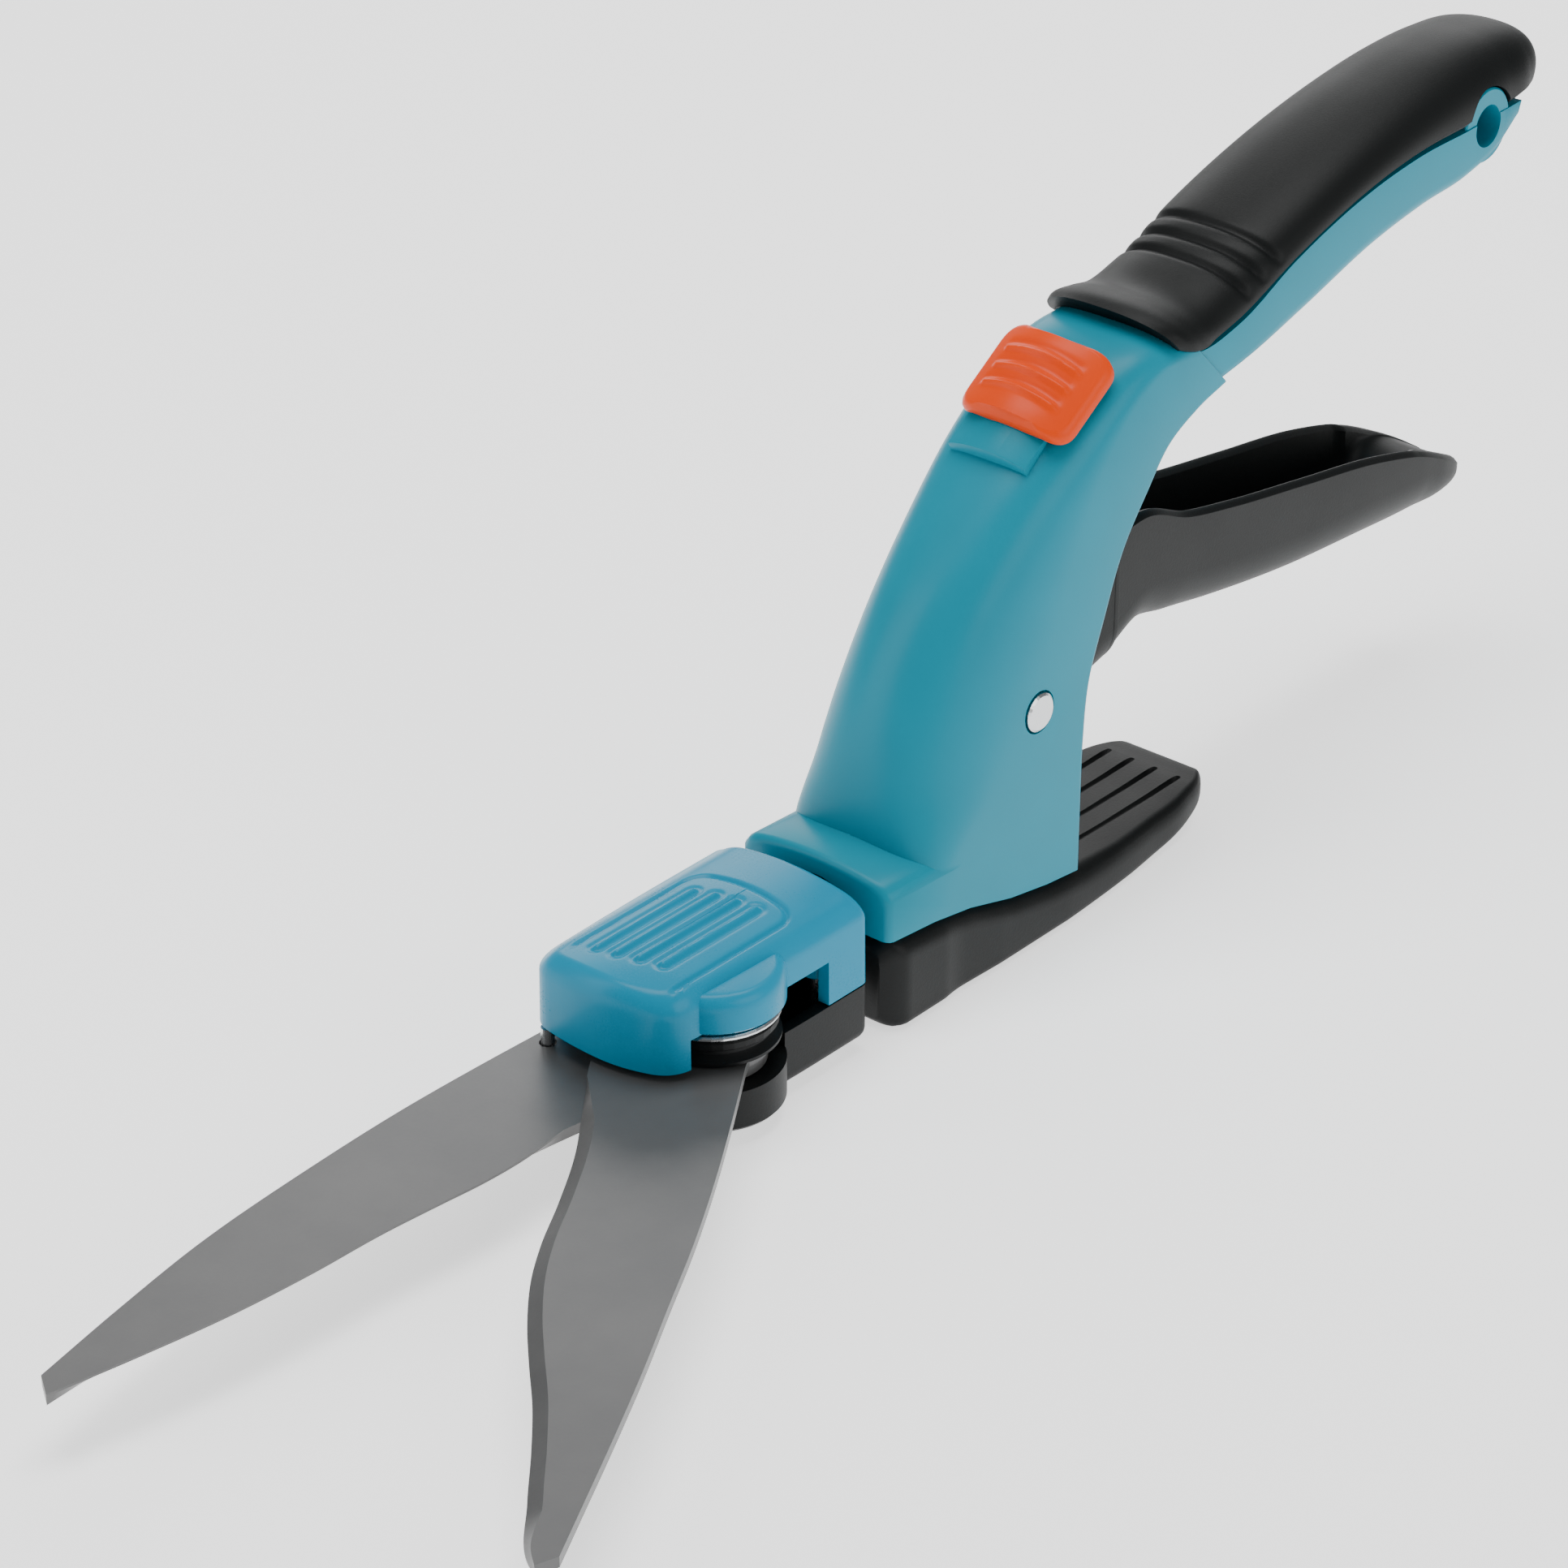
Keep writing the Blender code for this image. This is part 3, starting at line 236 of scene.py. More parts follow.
class Socket:
    """A shader output with arithmetic, so that a pattern reads as a formula."""

    def __init__(self, tree, out):
        self.tree, self.out = tree, out

    def _math(self, kind, *others):
        node = self.tree.nodes.new("ShaderNodeMath")
        node.operation = kind
        for i, value in enumerate((self,) + others):
            link(self.tree, node.inputs[i], value)
        return Socket(self.tree, node.outputs[0])

    def __add__(self, other):
        return self._math("ADD", other)

    def __radd__(self, other):
        return self._math("ADD", other)

    def __sub__(self, other):
        return self._math("SUBTRACT", other)

    def __mul__(self, other):
        return self._math("MULTIPLY", other)

    def step(self, low, high):
        """0 below low, 1 above high, smooth between."""
        node = self.tree.nodes.new("ShaderNodeMapRange")
        node.interpolation_type = "SMOOTHSTEP"
        link(self.tree, node.inputs[0], self)
        node.inputs[1].default_value, node.inputs[2].default_value = low, high
        return Socket(self.tree, node.outputs[0])

    def mix(self, a, b):
        """Colour a where this is 0 and colour b where it is 1."""
        node = self.tree.nodes.new("ShaderNodeMix")
        node.data_type = "RGBA"
        link(self.tree, node.inputs[0], self)
        link(self.tree, node.inputs[6], a)
        link(self.tree, node.inputs[7], b)
        return Socket(self.tree, node.outputs[2])


def link(tree, target, value):
    """Join a value, colour or socket to an input."""
    if isinstance(value, Socket):
        tree.links.new(value.out, target)
    elif isinstance(value, tuple):
        target.default_value = value if len(value) == 4 or target.type == "VECTOR" else (*value, 1.0)
    else:
        target.default_value = value


class Finish:
    """One material: the shader, its coordinates and its noise."""

    def __init__(self, name, colour, roughness, **fixed):
        self.mat = bpy.data.materials.new(name)
        self.mat.use_nodes = True
        self.tree = self.mat.node_tree
        self.shader = self.tree.nodes["Principled BSDF"]
        coords = self.tree.nodes.new("ShaderNodeTexCoord")
        self.where = Socket(self.tree, coords.outputs["Object"])
        self.set("Base Color", colour)
        self.set("Roughness", roughness)
        for key, value in fixed.items():
            self.set(key.replace("_", " "), value)

    def set(self, name, value):
        link(self.tree, self.shader.inputs[name], value)

    def node(self, kind, output, **inputs):
        """Any other node, by its input names; returns one of its outputs."""
        made = self.tree.nodes.new(kind)
        for key, value in inputs.items():
            if hasattr(made, key):
                setattr(made, key, value)
            else:
                link(self.tree, made.inputs[key.replace("_", " ")], value)
        return Socket(self.tree, made.outputs[output])

    def noise(self, scale, detail=2.0, rough=0.5, stretch=(1.0, 1.0, 1.0)):
        at = self.node("ShaderNodeMapping", 0, Vector=self.where, Scale=stretch)
        return self.node("ShaderNodeTexNoise", 0, Vector=at, Scale=scale, Detail=detail, Roughness=rough)

    def bump(self, height, strength, distance):
        made = self.node("ShaderNodeBump", 0, Height=height, Strength=strength, Distance=distance)
        self.set("Normal", made)


def moulded(name, colour, roughness, grain, depth, gloss=0.16):
    """Injection-moulded plastic: even colour, fine spark-eroded grain, slight sheen change."""
    f = Finish(name, colour, roughness, Specular_IOR_Level=gloss)
    fine = f.noise(grain, 3.0, 0.6)
    broad = f.noise(45.0, 2.0, 0.5)
    f.set("Roughness", roughness + (broad - 0.5) * 0.10 + (fine - 0.5) * 0.06)
    dark = tuple(c * 0.93 for c in colour)
    f.set("Base Color", broad.step(0.3, 0.75).mix(dark, colour))
    f.bump(fine, 0.35, depth)
    return f


teal = moulded("teal_plastic_grained", (0.0, 0.245, 0.345), 0.33, 2600.0, 0.00003)


def place(obj, name, finish, slot, body, *cad, sharp=34.0):
    """Names and shades a finished piece, and puts it in place of its CAD nodes."""
    obj.name = obj.data.name = name
    obj.data.materials.clear()
    obj.data.materials.append(finish.mat)
    obj.data.shade_smooth()
    obj.data.set_sharp_from_angle(angle=math.radians(sharp))
    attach(obj, body)
    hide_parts(*cad)
    return obj


housing = skin("housing", [housing_ring(r) for r in resample(BODY, 110)])
strip = []
for ux, uz, lx, lz, half in resample(STRIP, 90):
    corner = rounded([(-half, -9.0), (half, -9.0), (half, 0.0), (-half, 0.0)], (0.01, 0.01, 2.2, 2.2), 6)
    t = 1.0 + corner[:, 1] / 9.0
    strip.append(np.c_[ux + (lx - ux) * t, widen(corner[:, 0], uz), uz + (lz - uz) * t])
carve(housing,
      add=[skin("tool", collar_rings()), skin("tool", strip),
           turned([(-13.0, 6.3), (-12.7, 6.6), (11.6, 6.6), (11.9, 6.3)], HANG, "y"),
           slope_block([(-13.0, -5.0), (8.6, -5.0), (8.1, 1.1), (7.8, 1.35), (7.5, 1.4), (-12.1, 1.4),
                        (-12.4, 1.3), (-12.6, 1.0)], -7.6, 7.6)],
      cut=[skin("tool", [housing_ring(r, WALL, 12.0) for r in resample(CAVITY, 60)]),
           foot_line_block(0.0, False), drill(NECK, "x", 7.5, -40.0, -2.0),
           drill(NECK, "x", 10.2, -15.8, -2.0), drill(HANG, "y", 3.7), drill(PIN, "y", 2.7),
           drill(PIN, "y", 3.7, 13.4, 20.0), drill(PIN, "y", 3.7, -20.0, -13.4),
           slope_block([(-6.5, -12.0), (6.5, -12.0), (6.5, 12.0), (-6.5, 12.0)], -2.4, 2.4, 0.0)])
place(housing, "housing", teal, "teal_plastic", "handle", "handle_shell")


# ---------------------------------------------------------------- grip
# Soft black rubber moulded over the top of the handle, with a flared front lip, three girth
# grooves where the index finger lies, and an arch over the hanging hole.

# lower edge x z, top x z, half width
GRIP = [(44.6, 91.8, 39.8, 97.6, 13.4), (46.4, 91.2, 41.6, 98.2, 14.3), (50.4, 90.2, 45.6, 98.1, 14.4),
        (54.0, 90.6, 50.0, 97.3, 13.8), (61.0, 92.0, 58.0, 98.9, 13.6), (76.0, 97.8, 72.6, 104.3, 13.8),
        (98.0, 103.5, 96.0, 111.1, 13.8), (113.0, 105.3, 111.9, 114.4, 13.8),
        (126.0, 105.6, 126.0, 116.3, 13.8), (137.0, 105.8, 138.0, 116.6, 13.4),
        (144.0, 106.2, 146.2, 115.8, 12.6), (148.6, 107.2, 152.0, 113.8, 10.4),
        (150.9, 108.2, 154.1, 112.4, 7.6), (151.4, 109.2, 154.6, 111.4, 4.6)]
GRIP_GROOVES = (60.8, 64.8, 68.8)
GROOVE_DEPTH, GROOVE_REACH = 0.7, 0.75
GAP = 0.3                       # clearance between neighbouring solids, in millimetres
SEAT_FROM = 78                  # first section of the body that the grip is hollowed for


def grip_ring(lx, lz, tx, tz, half):
    """Section: p = low + (top - low)(0.1 + 0.9 sin^0.9 a), across half cos^0.85 a; each girth
    groove lowers it by 0.7 exp(-((x - g) / 0.75)^2), fading towards the lower edge."""
    a = np.linspace(0.0, math.pi, 57)
    high = np.sin(a)
    dent = sum(GROOVE_DEPTH * np.exp(-((tx - g) / GROOVE_REACH) ** 2) for g in GRIP_GROOVES)
    dent = dent * np.clip(high * 3.2 - 0.5, 0, 1)
    across = np.sign(np.cos(a)) * np.abs(np.cos(a)) ** 0.85 * (half - dent)
    t = 0.10 + 0.90 * high ** 0.9
    length = math.hypot(tx - lx, tz - lz)
    t = t - dent * high / length
    ring = np.c_[lx + (tx - lx) * t, across, lz + (tz - lz) * t]
    ring = np.vstack([ring, [(lx, -half * 0.93, lz), (lx, half * 0.93, lz)]])
    ring[:, 1] = widen(ring[:, 1], lz)
    return ring


rubber = moulded("grip_rubber", (0.004, 0.005, 0.005), 0.50, 3200.0, 0.00008, 0.20)
grip = skin("grip", [grip_ring(*row) for row in resample(GRIP, 300)])
seat = [housing_ring(r, -GAP) for r in resample(BODY, 110)[SEAT_FROM:]]
seat.append(seat[-1] + (0.4, 0.0, 0.3))
carve(grip, cut=[skin("tool", seat), drill(HANG, "y", 6.9)])
place(grip, "grip", rubber, "soft_grip_black", "handle", "grip_overmould")


# ---------------------------------------------------------------- foot
# Black plastic moulding under the housing: flat sole, long rounded heel with four grooves on
# top.  Two screws come up from the sole; the rear one ends inside the heel.

FOOT_WIDTH = [(-28.2, 12.6), (-26.4, 14.6), (-10.0, 15.2), (8.0, 15.8), (25.0, 15.2), (42.0, 13.8),
              (54.0, 12.4), (60.6, 10.0), (63.2, 7.6), (64.0, 5.4)]
FOOT_SOLE = [(-28.2, 1.4), (-27.4, 0.4), (-26.4, 0.0), (10.0, 0.0), (36.0, 0.0), (50.0, 0.9),
             (60.6, 2.8), (64.0, 4.2)]
HEEL_TOP = [(20.9, 7.8), (30.0, 7.2), (48.0, 7.0), (59.0, 7.0), (62.6, 6.6), (64.0, 5.6)]
FOOT_SCREWS = ((-6.0, 9.4), (33.0, 6.7))  # where each screw is and how high its way goes
HEEL_FRONT = 20.9               # where the open heel starts, behind the housing
FOOT_HALF_MOST = 15.6
HEEL_GROOVES = (-7.3, -2.45, 2.45, 7.3)
GROOVE_HALF = 0.62


def follow(table, x):
    """Smooth value at x of a table of (x, value) pairs."""
    fine = resample(table, 240)
    return np.interp(x, fine[:, 0], fine[:, 1])


black = moulded("black_plastic_grained", (0.004, 0.005, 0.005), 0.48, 2600.0, 0.00007, 0.20)
rings = []
line = np.asarray(FOOT_LINE)
for x in np.r_[-28.2, -28.0, -27.6, -27.0, np.linspace(-26.4, 62.0, 92), 62.6, 63.2, 63.7, 64.0]:
    half, low = min(follow(FOOT_WIDTH, x), FOOT_HALF_MOST), max(follow(FOOT_SOLE, x), 0.0)
    high = follow(HEEL_TOP, x) if x > HEEL_FRONT else np.interp(x, line[:, 0], line[:, 1]) - GAP
    high -= max(0.0, (-26.6 - x)) * 1.2
    edge, inner = min(2.2, (high - low) * 0.3), min(half, HALF_BODY)
    flat = rounded([(-half, low), (half, low), (half, high - edge), (inner - edge * 0.6, high),
                    (-inner + edge * 0.6, high), (-half, high - edge)], 1.4, 4)
    if x < 21.0:
        flat[:, 0] = widen(flat[:, 0], 0.0)
    rings.append(np.c_[np.full(len(flat), x), flat])
foot = skin("foot", rings)
cuts = [drill(NECK, "x", 7.5, -40.0, -15.7), drill(NECK, "x", 10.2, -15.8, 8.0)]
for y in HEEL_GROOVES:
    half_turn = np.linspace(0.0, math.pi, 9)
    rings = []
    for x, z in ((22.0, 7.6), (56.0, 7.1), (57.7, 7.5), (58.5, 8.2)):
        across, down = y + GROOVE_HALF * np.cos(half_turn), z - 0.75 * np.sin(half_turn)
        open_top = [(x, y - GROOVE_HALF, 12.0), (x, y + GROOVE_HALF, 12.0)]
        rings.append(np.vstack([np.c_[np.full(9, x), across, down], open_top]))
    cuts.append(skin("tool", rings))
for x, top in FOOT_SCREWS:
    cuts += [drill((x, 0, 0), "z", 3.6, -2.0, 3.6), drill((x, 0, 0), "z", 1.6, 0.0, top)]
carve(foot, cut=cuts)
place(foot, "foot_moulding", black, "black_plastic", "handle", "foot")


# ---------------------------------------------------------------- squeeze lever
# Black plastic trough-shaped lever: a deep U behind the pin, closed at its end, and a web
# inside the housing that reaches down to the pull rod.  It turns on a steel rivet.

# x, rim height, bottom height, half width, thickness of the floor
LEVER = [(20.0, 47.0, 34.0, 7.4, 12.4), (30.0, 58.0, 34.2, 8.6, 22.0), (35.0, 61.6, 35.6, 9.0, 24.0),
         (37.0, 62.2, 36.6, 9.0, 4.0), (44.0, 62.6, 39.6, 9.0, 2.2), (55.0, 58.4, 38.0, 9.0, 2.2),
         (67.0, 55.8, 35.8, 9.2, 2.2), (88.0, 52.2, 32.8, 9.4, 2.2), (110.0, 48.4, 31.0, 9.6, 2.2),
         (122.0, 45.2, 30.1, 9.6, 2.4), (128.0, 42.8, 29.8, 9.4, 8.4), (133.0, 40.4, 29.6, 9.0, 9.4),
         (138.4, 37.6, 30.6, 7.6, 6.4), (140.8, 36.0, 31.9, 5.6, 3.6), (141.4, 35.2, 32.9, 4.0, 2.0)]
LEVER_ARM, ARM_TILT = 24.0, math.radians(11.0)


def lever_ring(x, rim, low, half, floor):
    """Half ellipse bottom y = half cos a, z = low + d (1 - sin a) with straight sides up to a
    rounded rim, and the same curve again inside it."""
    wall = 2.2 + min(max(floor - 2.2, 0.0), 1.0)
    lines = []
    for w, bottom in ((half, low), (half - wall, low + floor)):
        depth = min(w, max((rim - bottom) * 0.7, 0.05))
        a = np.linspace(0.0, math.pi, 25)
        lines.append(np.c_[-w * np.cos(a), bottom + depth * (1 - np.sin(a))])
    left = [(-half + wall * t, rim - 0.9 * (2 * t - 1) ** 2) for t in (0.0, 0.25, 0.5, 0.75, 1.0)]
    right = [(-y, z) for y, z in left]
    flat = np.vstack([left[::-1], lines[0], right, lines[1][::-1]])
    return np.c_[np.full(len(flat), x), flat]


lever = skin("lever", [lever_ring(*row) for row in resample(LEVER, 150)])
reach = np.array([-math.sin(ARM_TILT), -math.cos(ARM_TILT)]) * LEVER_ARM
fx, fz = PIN[0] + reach[0], PIN[2] + reach[1]
web = [(PIN[0] - 6.4, PIN[2] + 2.0), (fx - 3.6, fz - 4.2), (fx + 3.6, fz - 4.2),
       (PIN[0] + 16.0, PIN[2] - 8.4), (PIN[0] + 20.0, PIN[2] + 5)]
carve(lever, add=[turned([(-7.4, 8.0), (7.4, 8.0)], PIN, "y"), prism(web, -3.2, 3.2, "y")],
      cut=[drill(PIN, "y", 2.8), drill(PIN, "y", 9.6, 2.4, 9.2),
           prism([(fx - 1.9, fz - 9.0), (fx + 1.9, fz - 9.0), (fx + 1.9, fz + 2.4), (fx - 1.9, fz + 2.4)],
                 -20.0, 20.0, "y")])
place(lever, "lever", black, "black_plastic", "lever", "squeeze_lever")


# ---------------------------------------------------------------- head cover
# Teal arched cover over the blade drive, screwed from below.  It carries a shallow panel with
# four ribs, a round lobe over the blade bolt and a small window in the side.

HEAD_REAR, HEAD_FRONT, HEAD_HALF, HEAD_FAR = -33.0, -78.8, 14.4, 16.2
PIVOT = (-61.7, -7.3, 0.0)
COVER_SCREWS = ((-39.6, -9.4), (-39.6, 9.4))
# y, front end, rear end
PANEL_RIBS = ((6.3, -72.6, -50.6), (2.6, -72.2, -49.8), (-1.1, -71.2, -49.2), (-4.8, -70.0, -48.8))
COVER_STEPS = 520
COVER_WALL_TOP = 23.4           # where the side walls turn into the top


def evenly(line, guide, count):
    """Points of the closed line at count even steps of distance round the closed guide."""
    p, q = np.vstack([line, line[:1]]), np.vstack([guide, guide[:1]])
    s = np.r_[0.0, np.cumsum(np.linalg.norm(np.diff(q, axis=0), axis=1))]
    t = np.linspace(0.0, s[-1], count, endpoint=False)
    return np.stack([np.interp(t, s, column) for column in p.T], 1)


def cover_level(inset):
    """Outline of the cover pulled in by inset, in even steps round it."""
    h, w, f, r = HEAD_HALF - inset, HEAD_FAR - inset, HEAD_FRONT + inset, HEAD_REAR - inset
    corners = [(r, -h), (-54.0, -h + 0.1), (f + 2.0, -h + 1.5), (f - 1.1, -4.0), (f - 1.1, 5.0),
               (f + 0.4, w - 0.8), (-54.0, w), (r, w)]
    p = rounded(corners, (1.6, 12.0, 4.4, 10.0, 10.0, 5.0, 12.0, 1.6), 9)
    return evenly(p, p, COVER_STEPS)


def cover_top(x, y):
    """Height 28.5 - 1.9 (y / 14.4)^2 with falling edges, less the panel's groove
    0.45 exp(-(d / 0.48)^2) at distance d from its U line, plus the four ribs."""
    z = 28.5 - 1.9 * (y / 14.4) ** 2 - 0.9 * np.clip((np.abs(y) - 9.9) / 4.0, 0.0, 1.0) ** 2
    z -= 0.6 * np.clip((-70.0 - x) / 9.0, 0.0, 1.0) ** 2
    bow = x + 0.012 * y**2
    u, v = np.maximum(np.abs(y) - 7.1, 0.0), np.maximum(bow + 47.6, 0.0)
    far = np.where(v > 0.0, np.hypot(u, v), u) - 2.9
    z -= 0.45 * np.exp(-(far / 0.48) ** 2) * np.clip((x + 75.0) / 2.0, 0.0, 1.0)
    for ry, x0, x1 in PANEL_RIBS:
        run = np.hypot(y - ry, x - np.clip(x, x0, x1))
        z += 0.42 * np.exp(-(run / 0.55) ** 2) - 0.26 * np.exp(-((run - 1.1) / 0.5) ** 2)
    return z


head_teal = moulded("head_teal_plastic_grained", (0.0, 0.260, 0.430), 0.28, 2600.0, 0.00003)
rings = []
for z, inset in ((11.85, 0.0), (18.0, 0.05), (COVER_WALL_TOP, 0.1)):
    flat = cover_level(inset)
    rings.append(np.c_[flat, np.full(len(flat), z)])
for a in np.linspace(0.0, math.pi / 2, 9)[1:]:
    flat = cover_level(0.1 + 2.4 * (1 - math.cos(a)))
    rings.append(np.c_[flat, COVER_WALL_TOP + (cover_top(*flat.T) - COVER_WALL_TOP) * math.sin(a)])
edge = cover_level(2.5)
mid = np.c_[np.clip(edge[:, 0], -68.0, -45.0), edge[:, 1] * 0.01]
for t in np.linspace(0.0, 1.0, 62)[1:]:
    flat = edge + (mid - edge) * t
    rings.append(np.c_[flat, cover_top(*flat.T)])
cover = skin("cover", rings)
lobe = [(19.6, 10.9), (20.0, 11.3), (23.2, 11.3)] + [
    (23.2 + 2.7 * math.sin(a), 11.3 - 2.0 * (1 - math.cos(a))) for a in np.linspace(0.2, math.pi / 2, 7)]
bay = [(-74.6, 11.9), (-35.2, 12.4), (-35.2, -12.2), (-68.0, -12.2), (-74.6, -9.6)]
carve(cover, add=[turned(lobe, PIVOT, "z", 88)],
      cut=[prism(bay, 0.0, 22.2), turned([(0.0, 11.1), (19.1, 11.1), (19.1, 6.4), (22.2, 6.4)], PIVOT, "z"),
           prism([(-95.0, -40.0), (-72.6, -40.0), (-72.6, 40.0), (-95.0, 40.0)], 0.0, 14.4),
           prism([(-73.2, -40.0), (-42.6, -40.0), (-42.6, -8.0), (-73.2, -8.0)], 0.0, 19.6),
           drill(NECK, "x", 7.5, -41.0, -32.0)])
carve(cover, add=[turned([(14.8, 2.6), (23.0, 2.6)], (x, y, 0.0), "z", 32) for x, y in COVER_SCREWS])
carve(cover, cut=[drill((x, y, 0.0), "z", 1.6, 0.0, 21.0) for x, y in COVER_SCREWS])
place(cover, "head_cover_moulding", head_teal, "head_teal_plastic", "head", "head_cover", sharp=28.0)


# ---------------------------------------------------------------- head frame
# Black plastic lower half of the head with the bolt lobe and the neck tube, moulded in one
# piece.  The tube turns in the collar, and screws from below hold the cover on it.

FRAME_LOW, SPLIT = 1.8, 11.55
BLADE_SCREW = (-47.0, 9.0)
BOLT_HOLE = 3.3

rings = []
h, w, f = HEAD_HALF, HEAD_FAR, -74.0
for z, inset in ((FRAME_LOW, 1.3), (FRAME_LOW + 0.15, 0.85), (FRAME_LOW + 0.5, 0.4),
                 (FRAME_LOW + 1.1, 0.1), (FRAME_LOW + 1.8, 0.0), (SPLIT, 0.0)):
    flat = rounded([(HEAD_REAR - inset, -h + inset), (-54.0, -h + 0.2 + inset),
                    (f + 2.2, -h + 1.6 + inset),
                    (f - 1.2 + inset, 0.0), (f + 0.4 + inset, w - 0.8 - inset), (-54.0, w - inset),
                    (HEAD_REAR - inset, w - inset)], (1.6, 10.0, 4.6, 10.0, 5.0, 10.0, 1.6), 7)
    rings.append(np.c_[flat, np.full(len(flat), z)])
low = skin("low", rings)
lobe = [(FRAME_LOW, 10.2), (FRAME_LOW + 0.3, 10.8), (FRAME_LOW + 0.9, 11.3), (9.1, 11.3)]
carve(low, add=[turned(lobe, PIVOT, "z", 88), turned([(-35.2, 7.2), (-13.2, 7.2), (-12.8, 6.8)], NECK, "x")],
      cut=[prism([(-90.0, -40.0), (-52.8, -40.0), (-52.8, 11.9), (-72.6, 11.9), (-72.6, 40.0),
                  (-90.0, 40.0)], 9.1, 30.0),
           prism([(-55.0, -12.2), (-37.0, -12.2), (-37.0, 12.1), (-55.0, 12.1)], 9.1, 30.0),
           drill(NECK, "x", 4.2, -40.0, 0.0), drill(PIVOT, "z", BOLT_HOLE, 0.0, 20.0),
           drill(PIVOT, "z", 6.0, 0.0, 6.8)])
carve(low, cut=[drill((x, y, 0.0), "z", 1.75, 0.0, 20.0) for x, y in (BLADE_SCREW,) + COVER_SCREWS])
carve(low, cut=[drill((x, y, 0.0), "z", 3.2, 0.0, 5.2) for x, y in (BLADE_SCREW,) + COVER_SCREWS])
ring_groove = carve(drill(NECK, "x", 30.0, -15.3, -13.7), cut=[drill(NECK, "x", 6.0, -20.0, 0.0)])
carve(low, cut=[ring_groove])
place(low, "head_frame_moulding", black, "black_plastic", "head", "head_frame")


# ---------------------------------------------------------------- lower disc
# Black plastic moulded spacer with a thin flange, held on the moving blade round the bolt.
# It narrows towards its top and moves with the blade.

DISC = [(13.45, 10.3), (13.6, 10.6), (14.1, 10.6), (14.5, 9.9), (15.1, 9.3), (15.7, 9.2)]

disc = turned(DISC, PIVOT, "z", 88)
carve(disc, cut=[drill(PIVOT, "z", 3.2)])
place(disc, "lower_disc_flanged", black, "black_plastic", "blade", "lower_disc")


# ---------------------------------------------------------------- lock slider
# Orange plastic thumb slider on the raised pad: a moulded, rounded plate with three swept ribs.
# A catch under it runs in the slot of the pad.

PLATE = (8.6, 10.4)             # half length and half width
PLATE_TOP, PLATE_SHIFT, PLATE_REST = 4.35, 1.0, 1.6
RIBS_ALONG = (-2.3, 1.2, 4.7)
PLATE_STEPS = 200

orange = moulded("orange_plastic_grained", (0.850, 0.060, 0.000), 0.34, 2600.0, 0.00004)
rings = []
for up, grow in ((1.8, -0.7), (2.0, -0.25), (2.4, 0.0), (3.4, 0.0), (4.0, -0.25), (PLATE_TOP, -0.7)):
    a, c = PLATE[0] + grow, PLATE[1] + grow
    flat = rounded([(-a, -c), (a, -c), (a, c), (-a, c)], 3.6, 12)
    flat[:, 1] -= PLATE_SHIFT
    rings.append(np.c_[flat, up - CROWN * flat[:, 1] ** 2] + (PLATE_REST, 0.0, 0.0))
rings = [evenly(r, rings[-1][:, :2], PLATE_STEPS) for r in rings]
edge = rings[-1][:, :2]
for k in np.linspace(0.0, 1.0, 36)[1:]:
    a, c = (edge * (1 - k) - (0.0, k * PLATE_SHIFT)).T
    up = PLATE_TOP + 0.15 * math.sin(min(k * 5.0, 1.5)) - CROWN * c**2
    for at in RIBS_ALONG:
        d = a - at - 0.010 * (50.0 - (c + PLATE_SHIFT) ** 2)
        fade = np.clip(7.6 - np.abs(c + PLATE_SHIFT), 0.0, 1.0)
        up = up + 0.62 * np.exp(-(d / 0.62) ** 2) * fade
        up = up - 0.22 * np.exp(-((d - 1.3) / 0.7) ** 2) * fade
    rings.append(np.c_[a, c, up])
slider = skin("slider", [on_slope(r) for r in rings])
place(slider, "lock_slider_thumb", orange, "orange_plastic", "lock", "lock_slider", sharp=40.0)


# ---------------------------------------------------------------- blades
# Two 1.8 mm steel blades with a grey non-stick coating and a ground bevel along the cut.  The
# lower one is screwed to the head frame, and the upper one swings on the blade bolt.

FIXED_BACK = [(-76.3, 15.0), (-90.2, 15.6), (-105.0, 15.9), (-125.3, 15.3), (-149.9, 13.4), (-167.9, 10.4),
              (-185.6, 6.9)]
FIXED_CUT = [(-188.2, 3.0), (-186.2, 2.6), (-172.7, -0.1), (-158.4, -2.5), (-144.3, -3.9), (-130.3, -4.6),
             (-119.0, -5.8), (-112.0, -6.6), (-104.6, -6.9), (-94.0, -6.2)]
MOVING_BACK = [(-66.1, -17.6), (-78.0, -25.4), (-93.1, -34.9), (-105.9, -42.4), (-119.6, -49.8),
               (-132.8, -57.0), (-147.7, -64.7), (-161.1, -71.4), (-170.3, -76.0)]
MOVING_CUT = [(-173.8, -74.8), (-172.5, -72.3), (-163.8, -64.1), (-155.1, -56.7), (-147.4, -49.7),
              (-140.9, -43.0), (-134.0, -36.2), (-125.4, -29.0), (-118.9, -24.7), (-109.5, -19.4),
              (-98.1, -12.3), (-90.6, -6.6), (-83.0, -0.8)]
HALF_SWING = math.radians(17.0)
DRIVE_ARM = 15.66               # blade bolt to drive pin
DRIVE = (PIVOT[0] - DRIVE_ARM * math.sin(HALF_SWING), PIVOT[1] + DRIVE_ARM * math.cos(HALF_SWING), 0.0)
BLADE_THICK, BEVEL_HIGH, BEVEL_WIDE = 1.8, 1.4, 2.2
FIXED_LOW, MOVING_LOW = 9.4, 11.4
LOCATING_HOLE = (-77.8, 12.1, 0.0)


def arc(centre, radius, start, end, steps):
    """Points on a circle, between two angles in degrees."""
    a = np.radians(np.linspace(start, end, steps + 1))
    return np.c_[centre[0] + radius * np.cos(a), centre[1] + radius * np.sin(a)]


